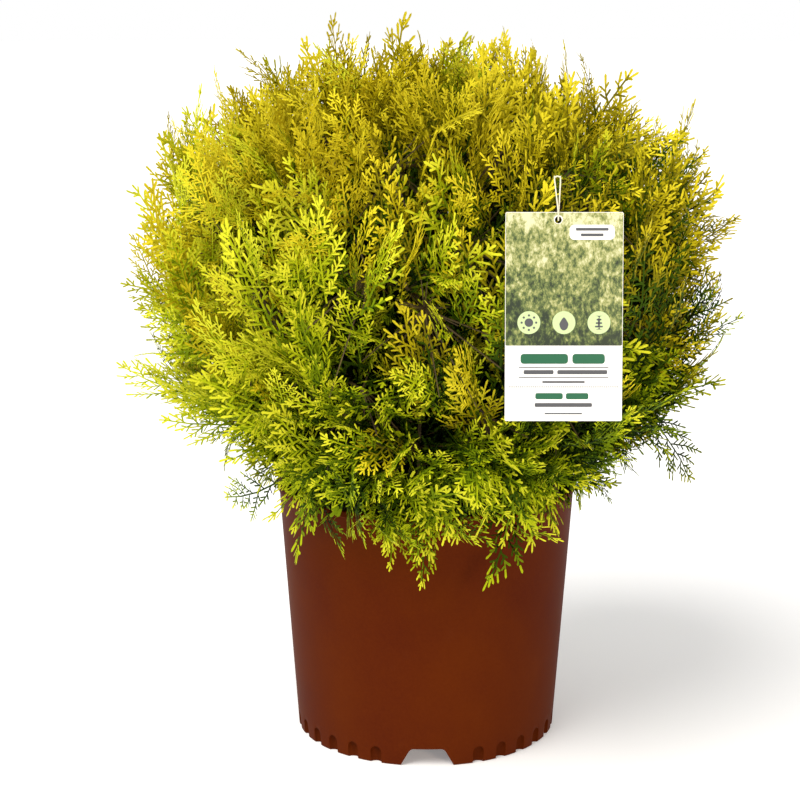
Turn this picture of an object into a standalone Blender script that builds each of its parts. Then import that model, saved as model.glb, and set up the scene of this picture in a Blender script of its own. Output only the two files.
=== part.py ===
"""A dwarf hinoki cypress in its round nursery pot, with a hang tag on an elastic loop.

Metres, +Z up. The pot stands on z = 0, and the whole plant is centred on the origin by
its width and depth. The front is -Y.
"""

import math
import random
from collections import Counter

import bmesh
import bpy
from mathutils import Matrix, Vector
from mathutils.bvhtree import BVHTree

GAP = 0.0003  # left between solids that meet
MERGE = 0.00001
FINEST = 0.000001  # no two points of a joined mass lie nearer than this
UP = Vector((0, 0, 1))

# Pot
POT_HEIGHT = 0.242
RIM_RADIUS = 0.140
BASE_RADIUS = 0.123
WALL = 0.0022
LIP_OUT = 0.0016
LIP_DEPTH = 0.006
FOOT_WIDTH = 0.010
FLOOR_UNDERSIDE = 0.018
FLOOR_TOP = 0.0205
POT_STEPS = 64

# Arched flutes and notches round the foot
FLUTE_POSITIONS = 32
FLUTE_RADIUS = 0.0062
FLUTE_DEPTH = 0.0055
FLUTE_HEIGHT = 0.0155
FLUTE_SIDES = 10
NOTCH_HEIGHT = 0.0155
NOTCH_WIDTH_BELOW = 0.047
NOTCH_WIDTH_ABOVE = 0.028
NOTCH_CHAMFER = 0.003
NOTCH_POSITIONS = (0, 16)

# Potting mix
SOIL_LEVEL = 0.222

# Trunk, from the potting mix to its tip
TRUNK_TIP = Vector((0.010, 0.004, 0.535))
TRUNK_FOOT_RADIUS = 0.0165
TRUNK_RADIUS = 0.0115
TRUNK_TIP_RADIUS = 0.0032
TRUNK_FLARE = 0.022  # the root flare has nearly gone at this height
FLARE_FALL = 3.0
TRUNK_SWAY = 0.005
TRUNK_RINGS = 12
TRUNK_SIDES = 8
RING_BUNCHING = 1.5  # draws the rings down into the flare

# Boughs
BOUGH_RADIUS = 0.0042
BOUGH_TIP_RADIUS = 0.0024
BOUGH_RINGS = 4
BOUGH_SIDES = 6
BOUGH_SOCKET = 0.006  # first straight length, square to the trunk
BOUGH_BEND = 0.35  # share of the way out where the sweep turns up
FIRST_BOUGH = 0.036  # above the potting mix
BOUGH_SPACING = 0.0092  # up the trunk

# Crown: a rounded box of sprays, squarer above its widest height than below
CROWN_CENTRE = Vector((0.002, 0, 0.40))
CROWN_HALF_WIDTH = 0.280
CROWN_RISE = 0.259
CROWN_DROP = 0.217
CROWN_SQUARENESS_ABOVE = 3.2
CROWN_SQUARENESS_BELOW = 2.4
SKIRT_INNER_RADIUS = 0.152  # no spray ends nearer the pot's axis below this ring
SKIRT_TOP = 0.27

# Tiers of foliage: name, masses, first azimuth, radius and height of the mass,
# radius and height of the bough's tip
TIERS = (
    ("skirt", 7, 10, 0.172, 0.262, 0.122, 0.338),
    ("lower", 7, 36, 0.208, 0.352, 0.118, 0.362),
    ("middle", 7, 10, 0.204, 0.462, 0.108, 0.428),
    ("upper", 5, 30, 0.134, 0.562, 0.066, 0.500),
    ("top", 1, 0, 0.0, 0.605, 0.0, 0.535),
)
AZIMUTH_JITTER = 7.0
HEIGHT_JITTER = 0.006

# Foliage
SEED = 5894
TWIG_POINTS = 88
SPRAY_POINTS = 236
SPRAY_LENGTH = 0.094
SPRAY_ROOT_SUNK = (0.006, 0.012)
SPRAY_THICKNESS = 0.0032
SPRAY_DISH = 0.06
SHORTEST_SPRAY = 0.045
REACH = (0.95, 1.035)
SPRAY_WIDTHS = (0.46, 0.38, 0.30, 0.20)  # half widths tried, as shares of the length
SPRAY_ROLLS = (0, 25, -25, 50, -50, 75, -75)
SPRAY_ROLL_JITTER = 20
SPRAY_FACE_BACK = 0.5  # how far a spray's face leans back along its heading
# Teeth of a spray's outline: degrees from its tip and share of the outer edge
SPRAY_TEETH = ((0, 1.0), (21, 0.60), (44, 0.98), (88, 0.80))
SPRAY_STEP = 0.007  # between the roots of a twig's sprays
TWIG_RADIUS = 0.0017
TWIG_TIP_RADIUS = 0.0011
TWIG_SIDES = 3
TWIG_FORKS = (0.45, 0.85)  # shares of the way from the bough's tip to the middle of the mass
STEM_TIP_RADIUS = 0.0018
STEM_SIDES = 6
STEM_STRAIGHT = 0.010  # first length, in line with the bough
STEM_BEND = 0.55  # share of the way to the middle of the mass
CORE_SHARE = 0.76  # of the crown's reach
CORE_PLACE = 0.65  # from the bough's tip to the middle of the mass
CORE_LARGEST = 0.12
CORE_GAP = 0.003
CORE_TRIALS = 40  # reaches tried along a heading
CORE_SHRINK = 0.94  # each time that the core touches a limb
CORE_SHRINKS = 12
CELL_MARGIN = 0.0004
CLEARANCE = 0.0009

# Sprays that stand proud of the crown: azimuth, height and radius of their tips
PROUD_TIPS = (
    (180, 0.655, 0.166),
    (186, 0.355, 0.288),
    (184, 0.435, 0.284),
    (178, 0.585, 0.246),
    (176, 0.212, 0.200),
    (0, 0.402, 0.296),
    (-3, 0.500, 0.288),
    (2, 0.592, 0.260),
    (-8, 0.250, 0.262),
    (100, 0.470, 0.286),
    (-84, 0.420, 0.282),
    (60, 0.650, 0.120),
)

# Hang tag, leaning back on the crown
TAG_WIDTH = 0.094
TAG_HEIGHT = 0.167
TAG_THICKNESS = 0.0009
TAG_CORNER = 0.0014
TAG_TOP = Vector((0.106, -0.264, 0.529))
TAG_LEAN = math.radians(7.5)
HOLE_RADIUS = 0.0028
HOLE_INSET = 0.0062
HOLE_OFFSET = -0.005  # to the left of the tag's middle

# Elastic loop and the twig it hangs on
LOOP_RADIUS = 0.0006
LOOP_TOP = 0.556
LOOP_PLANE = -0.250
LOOP_SIDES = 6
LOOP_SLACK = 1.3  # cord radii from the twig's surface to the cord's axis
LOOP_ABOVE_CARD = 1.6  # hole insets from the hole to where the strands part
LOOP_TWIG_RADIUS = 0.0013
LOOP_TWIG_SIDES = 6
LOOP_TWIG_INSIDE = 0.030
LOOP_TWIG_PAST = 0.006
LOOP_TWIG_FORK = 0.8
LOOP_TWIG_OVERLAP = 0.004
LOOP_POINTS_PER_SPAN = 2


def clear_scene():
    for item in list(bpy.data.objects):
        bpy.data.objects.remove(item, do_unlink=True)


def add_collection(name):
    group = bpy.data.collections.new(name)
    bpy.context.scene.collection.children.link(group)
    return group


def add_material(name, colour, roughness, metallic=0.0):
    material = bpy.data.materials.new(name)
    material.use_nodes = True
    shader = material.node_tree.nodes["Principled BSDF"]
    shader.inputs["Base Color"].default_value = (*colour, 1)
    shader.inputs["Roughness"].default_value = roughness
    shader.inputs["Metallic"].default_value = metallic
    material.diffuse_color = (*colour, 1)
    return material


def add_object(name, data, group, material=None, parent=None):
    """Links an object in the group, with its material and parent."""
    item = bpy.data.objects.new(name, data)
    group.objects.link(item)
    if material:
        data.materials.clear()
        data.materials.append(material)
    item.parent = parent
    return item


def evaluated_mesh(item, weld=True):
    """The object's mesh as its modifiers or its curve leave it, caps welded."""
    graph = bpy.context.evaluated_depsgraph_get()
    mesh = bpy.data.meshes.new_from_object(item.evaluated_get(graph))
    if not weld:
        return mesh
    shape = bmesh.new()
    shape.from_mesh(mesh)
    bmesh.ops.remove_doubles(shape, verts=shape.verts, dist=MERGE)
    shape.to_mesh(mesh)
    shape.free()
    return mesh


def hide_helper(item):
    item.hide_render = True
    item.display_type = "WIRE"


# Pot

def wall_radius(height):
    """Outer radius of the pot's straight tapering side."""
    return BASE_RADIUS + (RIM_RADIUS - BASE_RADIUS) * height / POT_HEIGHT


def pot_profile():
    """From the middle of the floor, up the inside, over the lip and down the outside."""
    lip_start = POT_HEIGHT - LIP_DEPTH
    lip_side = RIM_RADIUS + LIP_OUT
    return [
        (0, FLOOR_TOP),
        (wall_radius(FLOOR_TOP) - WALL, FLOOR_TOP),
        (RIM_RADIUS - WALL, POT_HEIGHT),
        (lip_side - LIP_OUT / 2, POT_HEIGHT),
        (lip_side, POT_HEIGHT - LIP_OUT),
        (lip_side, lip_start),
        (wall_radius(lip_start - LIP_OUT), lip_start - LIP_OUT),
        (BASE_RADIUS, 0),
        (BASE_RADIUS - FOOT_WIDTH, 0),
        (BASE_RADIUS - FOOT_WIDTH, FLOOR_UNDERSIDE),
        (0, FLOOR_UNDERSIDE),
    ]


def turned_object(name, profile, steps, group, material, parent):
    mesh = bpy.data.meshes.new(name)
    points = [(radius, 0, height) for radius, height in profile]
    mesh.from_pydata(points, [(i, i + 1) for i in range(len(points) - 1)], [])
    item = add_object(name, mesh, group, material, parent)
    screw = item.modifiers.new("Turn", "SCREW")
    screw.angle = math.tau
    screw.steps = steps
    screw.render_steps = steps
    screw.use_merge_vertices = True
    screw.merge_threshold = MERGE
    return item


def position_angle(position):
    """Angle round the foot of a flute position, counted from the front."""
    return -math.pi / 2 + math.tau * position / FLUTE_POSITIONS


def flute_cutters(group, plant):
    """Tilted cylinders that leave arched flutes, deepest at the ground."""
    near_notch = {(notch + step) % FLUTE_POSITIONS for notch in NOTCH_POSITIONS for step in (-1, 0, 1)}
    tilt = math.atan2(FLUTE_DEPTH, FLUTE_HEIGHT)
    shape = bmesh.new()
    for position in range(FLUTE_POSITIONS):
        if position in near_notch:
            continue
        angle = position_angle(position)
        axis_radius = BASE_RADIUS - FLUTE_DEPTH + FLUTE_RADIUS
        place = (
            Matrix.Rotation(angle, 4, "Z")
            @ Matrix.Translation((axis_radius, 0, 0))
            @ Matrix.Rotation(tilt, 4, "Y")
        )
        bmesh.ops.create_cone(
            shape,
            cap_ends=True,
            segments=FLUTE_SIDES,
            radius1=FLUTE_RADIUS,
            radius2=FLUTE_RADIUS,
            depth=FLUTE_HEIGHT * 3,
            matrix=place,
        )
    mesh = bpy.data.meshes.new("flute_cutters")
    shape.to_mesh(mesh)
    shape.free()
    item = add_object("flute_cutters", mesh, group, parent=plant)
    hide_helper(item)
    return item


def outline_mesh(name, outlines, thickness):
    """A flat piece cut to closed outlines in its own XY plane; later outlines are holes."""
    curve = bpy.data.curves.new(name, "CURVE")
    curve.dimensions = "2D"
    curve.fill_mode = "BOTH"
    curve.extrude = thickness / 2
    for outline in outlines:
        spline = curve.splines.new("POLY")
        spline.points.add(len(outline) - 1)
        spline.use_cyclic_u = True
        for point, (across, along) in zip(spline.points, outline):
            point.co = (across, along, 0, 1)
    item = bpy.data.objects.new(name, curve)
    bpy.context.scene.collection.objects.link(item)
    mesh = evaluated_mesh(item)
    bpy.data.objects.remove(item)
    return mesh


def notch_cutters(group, plant):
    """Blocks with sloping sides that open the foot at the front and the back."""
    low = NOTCH_WIDTH_BELOW / 2
    high = NOTCH_WIDTH_ABOVE / 2
    chamfer = NOTCH_CHAMFER
    outline = [
        (-low, 0),
        (-low, -NOTCH_HEIGHT),
        (low, -NOTCH_HEIGHT),
        (low, 0),
        (high + chamfer / 2, NOTCH_HEIGHT - chamfer),
        (high - chamfer, NOTCH_HEIGHT),
        (chamfer - high, NOTCH_HEIGHT),
        (-high - chamfer / 2, NOTCH_HEIGHT - chamfer),
    ]
    items = []
    for number, position in enumerate(NOTCH_POSITIONS):
        name = f"notch_cutter_{number}"
        mesh = outline_mesh(name, [outline], FOOT_WIDTH * 3)
        mesh.transform(Matrix.Rotation(math.pi / 2, 4, "X"))
        item = add_object(name, mesh, group, parent=plant)
        angle = position_angle(position)
        item.location = (BASE_RADIUS * math.cos(angle), BASE_RADIUS * math.sin(angle), 0)
        item.rotation_euler = (0, 0, angle + math.pi / 2)
        hide_helper(item)
        items.append(item)
    return items


def make_pot(parts, helpers, plant):
    plastic = add_material("pot_plastic", (0.118, 0.022, 0.014), 0.42)
    pot = turned_object("pot", pot_profile(), POT_STEPS, parts, plastic, plant)
    for cutter in [flute_cutters(helpers, plant), *notch_cutters(helpers, plant)]:
        cut = pot.modifiers.new(cutter.name, "BOOLEAN")
        cut.operation = "DIFFERENCE"
        cut.object = cutter
    return pot


def make_soil(parts, plant):
    """Potting mix that fills the pot to its level, clear of the wall and floor."""
    mix = add_material("potting_mix", (0.035, 0.022, 0.014), 0.95)
    low = FLOOR_TOP + GAP
    profile = [
        (0, SOIL_LEVEL),
        (wall_radius(SOIL_LEVEL) - WALL - GAP, SOIL_LEVEL),
        (wall_radius(low) - WALL - GAP, low),
        (0, low),
    ]
    return turned_object("potting_soil", profile, POT_STEPS, parts, mix, plant)


# Trunk and boughs

def tube_object(name, points, radii, sides, group, material, parent, closed=False):
    """A tapering limb along the points."""
    curve = bpy.data.curves.new(name, "CURVE")
    curve.dimensions = "3D"
    curve.bevel_depth = 1.0
    curve.bevel_resolution = (sides - 4) // 2
    curve.use_fill_caps = not closed
    spline = curve.splines.new("POLY")
    spline.points.add(len(points) - 1)
    spline.use_cyclic_u = closed
    for point, place, radius in zip(spline.points, points, radii):
        point.co = (*place, 1)
        point.radius = radius
    return add_object(name, curve, group, material, parent)


def bend(start, middle, end, share):
    """A point on the quadratic curve from start to end, drawn towards the middle."""
    first = start.lerp(middle, share)
    second = middle.lerp(end, share)
    return first.lerp(second, share)


def trunk_point(share):
    """The trunk's axis, with a slight sway and its lean to the tip."""
    foot = Vector((0, 0, SOIL_LEVEL + GAP))
    point = foot.lerp(TRUNK_TIP, share)
    point.x += TRUNK_SWAY * math.sin(math.pi * share) * share
    point.y -= TRUNK_SWAY * math.sin(math.tau * share) * share / 2
    return point


def trunk_radius(share):
    height = share * (TRUNK_TIP.z - SOIL_LEVEL)
    taper = TRUNK_RADIUS + (TRUNK_TIP_RADIUS - TRUNK_RADIUS) * share
    flare = (TRUNK_FOOT_RADIUS - TRUNK_RADIUS) * math.exp(-FLARE_FALL * height / TRUNK_FLARE)
    return taper + flare


def trunk_shares():
    """Rings up the trunk, closer together in the root flare."""
    return [(ring / (TRUNK_RINGS - 1)) ** RING_BUNCHING for ring in range(TRUNK_RINGS)]


def make_trunk(parts, plant, bark):
    shares = trunk_shares()
    points = [trunk_point(share) for share in shares]
    # The lowest two rings stand one above the other, so that the cut is level
    points[1].x = points[0].x
    points[1].y = points[0].y
    radii = [trunk_radius(share) for share in shares]
    return tube_object("trunk", points, radii, TRUNK_SIDES, parts, bark, plant)


def bough_route(start_height, tip):
    """Leaves the trunk square, then sweeps to the tip where its mass begins."""
    share = (start_height - SOIL_LEVEL) / (TRUNK_TIP.z - SOIL_LEVEL)
    axis = trunk_point(share)
    away = Vector((tip.x - axis.x, tip.y - axis.y, 0)).normalized()
    start = axis + away * (trunk_radius(share) + GAP)
    socket = start + away * BOUGH_SOCKET
    middle = socket + away * (tip - socket).length * BOUGH_BEND
    sweep = [bend(socket, middle, tip, ring / (BOUGH_RINGS - 1)) for ring in range(BOUGH_RINGS)]
    return [start, *sweep]


def tapering(first, last, count):
    return [first + (last - first) * ring / (count - 1) for ring in range(count)]


# Crown and its masses

def crown_reach(direction):
    """How far the crown reaches from its centre along a unit direction."""
    flat = math.hypot(direction.x, direction.y) / CROWN_HALF_WIDTH
    above = direction.z > 0
    steep = abs(direction.z) / (CROWN_RISE if above else CROWN_DROP)
    power = CROWN_SQUARENESS_ABOVE if above else CROWN_SQUARENESS_BELOW
    return (flat**power + steep**power) ** (-1 / power)


def even_directions(count):
    """Unit directions spread evenly over a sphere on a golden spiral."""
    turn = math.pi * (3 - math.sqrt(5))
    for index in range(count):
        height = 1 - (2 * index + 1) / count
        flat = math.sqrt(1 - height * height)
        yield Vector((flat * math.cos(turn * index), flat * math.sin(turn * index), height))


def crown_points(count):
    """Points spread over the crown, leaving out those over the pot."""
    points = []
    for direction in even_directions(count):
        point = CROWN_CENTRE + direction * crown_reach(direction)
        over_pot = math.hypot(point.x, point.y) < SKIRT_INNER_RADIUS and point.z < SKIRT_TOP
        if not over_pot:
            points.append(point)
    return points


class Mass:
    """One mass of foliage: its name, its middle, its bough's tip and what it carries."""

    def __init__(self, name, middle, anchor, start_height):
        self.name = name
        self.middle = middle
        self.anchor = anchor
        self.start_height = start_height
        self.heading = UP
        self.twigs = []
        self.carried = Counter()


def plan_masses(rng):
    """Rings of masses from the skirt to the top, each with its bough's place on the trunk."""
    masses = []
    height = SOIL_LEVEL + FIRST_BOUGH
    for tier, count, first, radius, middle_height, anchor_radius, anchor_height in TIERS:
        for index in range(count):
            azimuth = first + 360 * index / count + rng.uniform(-1, 1) * AZIMUTH_JITTER
            lift = rng.uniform(-1, 1) * HEIGHT_JITTER
            turn = math.radians(azimuth)
            out = Vector((math.cos(turn), math.sin(turn), 0))
            middle = out * radius + UP * (middle_height + lift)
            anchor = out * anchor_radius + UP * (anchor_height + lift)
            name = f"{tier}_{index + 1}" if count > 1 else tier
            masses.append(Mass(name, middle, anchor, 0))
        # Neighbours in a ring leave the trunk a few steps apart
        ring = masses[-count:]
        for order in range(count):
            ring[order * 3 % count].start_height = height
            height += BOUGH_SPACING
    masses[-1].anchor = TRUNK_TIP.copy()
    masses[-1].middle += Vector((TRUNK_TIP.x, TRUNK_TIP.y, 0))
    return masses


def make_boughs(masses, parts, plant, bark):
    """One bough to each mass but the top one, which the trunk's tip carries."""
    for mass in masses[:-1]:
        route = bough_route(mass.start_height, mass.anchor)
        radii = tapering(BOUGH_RADIUS, BOUGH_TIP_RADIUS, len(route))
        mass.heading = (route[-1] - route[-2]).normalized()
        tube_object(f"bough_{mass.name}", route, radii, BOUGH_SIDES, parts, bark, plant)
    lower = trunk_point(trunk_shares()[-2])
    masses[-1].heading = (TRUNK_TIP - lower).normalized()


def nearest(point, items, place):
    return min(items, key=lambda item: (place(item) - point).length_squared)


def in_cell(points, mass, masses, margin=CELL_MARGIN):
    """Whether all points lie in the space nearer to this mass than to any other."""
    for other in masses:
        if other is mass:
            continue
        across = (mass.middle - other.middle).normalized()
        halfway = (mass.middle + other.middle) / 2
        if any((point - halfway).dot(across) < margin for point in points):
            return False
    return True


def is_clear(mesh, barrier):
    """Whether a piece keeps its distance from the pot, the limbs and the tag."""
    points = [vertex.co for vertex in mesh.vertices]
    faces = [tuple(face.vertices) for face in mesh.polygons]
    if BVHTree.FromPolygons(points, faces).overlap(barrier):
        return False
    middles = [face.center for face in mesh.polygons]
    ends = [(points[edge.vertices[0]] + points[edge.vertices[1]]) / 2 for edge in mesh.edges]
    for point in [*points, *middles, *ends]:
        if barrier.find_nearest(point, CLEARANCE)[0] is not None:
            return False
    return True


def barrier_from(items):
    """A search tree over the surfaces that foliage has to keep clear of."""
    points = []
    faces = []
    for item in items:
        mesh = evaluated_mesh(item)
        first = len(points)
        points.extend(item.matrix_world @ vertex.co for vertex in mesh.vertices)
        faces.extend(tuple(first + index for index in face.vertices) for face in mesh.polygons)
        bpy.data.meshes.remove(mesh)
    return BVHTree.FromPolygons(points, faces)


def frame_towards(root, heading, face):
    """A matrix with X along the heading and Z as near the face direction as it can be."""
    along = heading.normalized()
    across = face.cross(along)
    if across.length < 0.05:
        across = Vector((0, 1, 0)).cross(along)
    across.normalize()
    normal = along.cross(across)
    axes = Matrix((along, across, normal)).transposed().to_4x4()
    return Matrix.Translation(root) @ axes


def spray_mesh(name, root, tip, face, roll, half_width):
    """A toothed blade, thickest in the middle and dished towards its tip."""
    length = (tip - root).length
    place = frame_towards(root, tip - root, face) @ Matrix.Rotation(math.radians(roll), 4, "X")
    teeth = [(math.radians(angle), share) for angle, share in SPRAY_TEETH]
    around = teeth + [(math.pi, 1.0)] + [(-angle, share) for angle, share in reversed(teeth[1:])]
    rim = []
    for angle, share in around:
        along = 0.5 + 0.5 * share * math.cos(angle)
        across = half_width * share * math.sin(angle)
        dish = -SPRAY_DISH * (2 * along - 1) ** 2
        rim.append(Vector((along, across, dish)) * length)
    half = SPRAY_THICKNESS / 2
    middle = Vector((0.5 * length, 0, 0))
    points = [place @ point for point in [*rim, middle + UP * half, middle - UP * half]]
    count = len(rim)
    above = [(i, (i + 1) % count, count) for i in range(count)]
    below = [((i + 1) % count, i, count + 1) for i in range(count)]
    mesh = bpy.data.meshes.new(name)
    mesh.from_pydata(points, [], above + below)
    return mesh


def rod_mesh(name, start, end, start_radius, end_radius, sides):
    """A short straight twig."""
    place = frame_towards((start + end) / 2, end - start, UP) @ Matrix.Rotation(math.pi / 2, 4, "Y")
    shape = bmesh.new()
    bmesh.ops.create_cone(
        shape,
        cap_ends=True,
        segments=sides,
        radius1=start_radius,
        radius2=end_radius,
        depth=(end - start).length,
        matrix=place,
    )
    mesh = bpy.data.meshes.new(name)
    shape.to_mesh(mesh)
    shape.free()
    return mesh


def core_room(centre, heading, mass, masses, barrier):
    """How far a core may reach from its centre along a heading."""
    hit = barrier.ray_cast(centre, heading, CORE_LARGEST)[3]
    most = CORE_LARGEST if hit is None else hit - CORE_GAP
    onward = (mass.middle - mass.anchor).normalized()
    for trial in range(CORE_TRIALS):
        room = most * (1 - trial / CORE_TRIALS)
        point = centre + heading * room
        out = point - CROWN_CENTRE
        inside_crown = out.length < CORE_SHARE * crown_reach(out.normalized())
        past_bough = (point - mass.anchor).dot(onward) > CORE_GAP
        if inside_crown and past_bough and in_cell([point], mass, masses, CORE_GAP):
            return room
    raise ValueError(f"no room for the core of {mass.name}")


def core_mesh(mass, masses, barrier):
    """The dense middle of a mass, which fills its space behind the sprays."""
    centre = mass.anchor.lerp(mass.middle, CORE_PLACE)
    for step in range(CORE_SHRINKS):
        shape = bmesh.new()
        bmesh.ops.create_icosphere(shape, subdivisions=2, radius=1)
        for vertex in shape.verts:
            heading = vertex.co.normalized()
            room = core_room(centre, heading, mass, masses, barrier)
            vertex.co = centre + heading * room * CORE_SHRINK**step
        mesh = bpy.data.meshes.new(f"{mass.name}_core")
        shape.to_mesh(mesh)
        shape.free()
        if is_clear(mesh, barrier):
            return mesh
        bpy.data.meshes.remove(mesh)
    raise ValueError(f"the core of {mass.name} can't be cut clear")


def stem_route(mass):
    """Takes up the bough's line and bends into the middle of the mass."""
    start = mass.anchor + mass.heading * GAP
    straight = start + mass.heading * STEM_STRAIGHT
    return [start, straight, mass.anchor.lerp(mass.middle, STEM_BEND), mass.middle]


def union_mesh(name, pieces, solver, group):
    """Joins overlapping pieces into one body."""
    base = add_object(name, pieces[0].copy(), group)
    scratch = add_collection(f"{name}_pieces")
    for piece in pieces[1:]:
        add_object(piece.name, piece, scratch)
    join = base.modifiers.new("Join", "BOOLEAN")
    join.operation = "UNION"
    join.operand_type = "COLLECTION"
    join.collection = scratch
    join.solver = solver
    mesh = evaluated_mesh(base, weld=False)
    for item in [base, *scratch.objects]:
        bpy.data.objects.remove(item)
    bpy.data.collections.remove(scratch)
    drop_scraps(mesh)
    return mesh


def is_sound(mesh):
    """Whether every edge has two faces, also once near points are welded."""
    shape = bmesh.new()
    shape.from_mesh(mesh)
    sound = all(len(edge.link_faces) == 2 for edge in shape.edges)
    bmesh.ops.remove_doubles(shape, verts=shape.verts, dist=FINEST)
    sound = sound and all(len(edge.link_faces) == 2 for edge in shape.edges)
    shape.free()
    return sound


def joined_mass(name, frame_pieces, sprays, group):
    """The union of a mass, without one of its sprays if both solvers fail with all of them."""
    without_one = [sprays[:index] + sprays[index + 1 :] for index in range(len(sprays))]
    for kept in [sprays, *without_one]:
        for solver in ("EXACT", "MANIFOLD"):
            mesh = union_mesh(name, frame_pieces + kept, solver, group)
            if is_sound(mesh):
                return mesh
            bpy.data.meshes.remove(mesh)
    raise ValueError(f"{name} could not be joined")


def drop_scraps(mesh):
    """Keeps the largest closed shell; sealed hollows and loose scraps go."""
    shape = bmesh.new()
    shape.from_mesh(mesh)
    bmesh.ops.triangulate(shape, faces=shape.faces)
    left = set(shape.faces)
    shells = []
    while left:
        shell = {left.pop()}
        edge = list(shell)
        while edge:
            face = edge.pop()
            for line in face.edges:
                if len(line.link_faces) != 2:
                    continue
                for other in line.link_faces:
                    if other in left:
                        left.remove(other)
                        shell.add(other)
                        edge.append(other)
        volume = sum(
            face.verts[0].co.dot(face.verts[1].co.cross(face.verts[2].co)) / 6 for face in shell
        )
        shells.append((volume, shell))
    shells.sort(key=lambda pair: pair[0])
    for _, shell in shells[:-1]:
        bmesh.ops.delete(shape, geom=list(shell), context="FACES")
    shape.to_mesh(mesh)
    shape.free()


def plan_twigs(masses):
    """Shares the crown's points among the masses; each is where a twig's sprays reach."""
    for target in crown_points(TWIG_POINTS):
        mass = nearest(target, masses, lambda item: item.middle)
        inward = (mass.anchor - target).normalized()
        mass.twigs.append((target + inward * SPRAY_LENGTH).freeze())


def spray_tips(rng):
    """Where the sprays end: the proud ones first, then the rest of an uneven crown."""
    tips = []
    for azimuth, height, radius in PROUD_TIPS:
        turn = math.radians(azimuth)
        tips.append(Vector((radius * math.cos(turn), radius * math.sin(turn), height)))
    for point in crown_points(SPRAY_POINTS):
        reach = rng.uniform(*REACH)
        tips.append(CROWN_CENTRE + (point - CROWN_CENTRE) * reach)
    return tips


def outer_tree(mesh):
    """A search tree over a blade's faces, but for those at its root."""
    root = len(SPRAY_TEETH)
    points = [vertex.co for vertex in mesh.vertices]
    faces = [tuple(face.vertices) for face in mesh.polygons if root not in face.vertices]
    return BVHTree.FromPolygons(points, faces)


def place_spray(name, mass, masses, tip, barrier, placed, rng):
    """The first spray that keeps to its space, from the twig nearest to its tip."""
    twig = nearest(tip, mass.twigs, lambda item: item)
    away = (tip - twig).normalized()
    inward = (mass.anchor - twig).normalized()
    step = mass.carried[twig]
    mass.carried[twig] += 1
    root = twig + inward * (SPRAY_STEP * step) - away * rng.uniform(*SPRAY_ROOT_SUNK)
    if (tip - root).length < SHORTEST_SPRAY:
        return None
    outward = (tip - CROWN_CENTRE).normalized()
    face = (outward + UP - away * SPRAY_FACE_BACK).normalized()
    first_roll = rng.uniform(-SPRAY_ROLL_JITTER, SPRAY_ROLL_JITTER)
    for half_width in SPRAY_WIDTHS:
        for roll in SPRAY_ROLLS:
            mesh = spray_mesh(name, root, tip, face, first_roll + roll, half_width)
            inside = in_cell([vertex.co for vertex in mesh.vertices], mass, masses)
            if inside and is_clear(mesh, barrier):
                tree = outer_tree(mesh)
                if not any(tree.overlap(other) for other in placed):
                    placed.append(tree)
                    return mesh
            bpy.data.meshes.remove(mesh)
    return None


def grow_masses(masses, tips, barrier, rng, parts, plant, leaf):
    """Stem, core, twigs and sprays of each mass, joined into one solid."""
    shares = {mass.name: [] for mass in masses}
    for tip in tips:
        shares[nearest(tip, masses, lambda item: item.middle).name].append(tip)
    for mass in masses:
        route = stem_route(mass)
        radii = tapering(BOUGH_TIP_RADIUS, STEM_TIP_RADIUS, len(route))
        stem = tube_object("stem", route, radii, STEM_SIDES, parts, leaf, None)
        pieces = [evaluated_mesh(stem)]
        bpy.data.objects.remove(stem)
        pieces.append(core_mesh(mass, masses, barrier))
        for number, end in enumerate(mass.twigs):
            start = mass.anchor.lerp(mass.middle, rng.uniform(*TWIG_FORKS))
            pieces.append(
                rod_mesh(f"twig_{number}", start, end, TWIG_RADIUS, TWIG_TIP_RADIUS, TWIG_SIDES)
            )
        pieces.extend(loop_twig(mass, masses))
        sprays = []
        placed = []
        for number, tip in enumerate(shares[mass.name]):
            blade = place_spray(f"spray_{number}", mass, masses, tip, barrier, placed, rng)
            if blade:
                sprays.append(blade)
        mesh = joined_mass(f"joined_{mass.name}", pieces, sprays, parts)
        add_object(f"foliage_{mass.name}", mesh, parts, leaf, plant)


# Hang tag

def tag_frame():
    """The tag's own frame: X to the right, Y up the card, Z out of its printed face."""
    lean = Matrix.Rotation(math.pi / 2 - TAG_LEAN, 4, "X")
    return Matrix.Translation(TAG_TOP) @ lean


def rounded_rectangle(width, height, corner, steps=3):
    """Hangs down from the middle of its top edge."""
    points = []
    for turn, (side, top) in enumerate(((1, 0), (-1, 0), (-1, -1), (1, -1))):
        centre_x = side * (width / 2 - corner)
        centre_y = top * height - corner * (1 if top == 0 else -1)
        for step in range(steps + 1):
            angle = math.pi / 2 * (turn + step / steps)
            points.append((centre_x + corner * math.cos(angle), centre_y + corner * math.sin(angle)))
    return points


def circle(centre, radius, steps=12):
    turns = [math.tau * step / steps for step in range(steps)]
    return [(centre[0] + radius * math.cos(t), centre[1] + radius * math.sin(t)) for t in turns]


def make_tag(parts, plant):
    card = add_material("tag_card", (0.62, 0.60, 0.42), 0.45)
    hole = circle((HOLE_OFFSET, -HOLE_INSET), HOLE_RADIUS)
    outlines = [rounded_rectangle(TAG_WIDTH, TAG_HEIGHT, TAG_CORNER), hole]
    tag = add_object("tag", outline_mesh("tag", outlines, TAG_THICKNESS), parts, card, plant)
    tag.matrix_basis = tag_frame()
    return tag


def hole_point(right=0, up=0, out=0):
    """A point by the hole's centre, offset in the tag's own frame."""
    return tag_frame() @ Vector((HOLE_OFFSET + right, up - HOLE_INSET, out))


def loop_crown():
    """Where the elastic loop passes over its twig."""
    return Vector((hole_point().x, LOOP_PLANE, LOOP_TOP))


def loop_swing():
    """From the middle of the loop's twig to the cord's axis."""
    return LOOP_TWIG_RADIUS + GAP + LOOP_RADIUS * LOOP_SLACK


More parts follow.
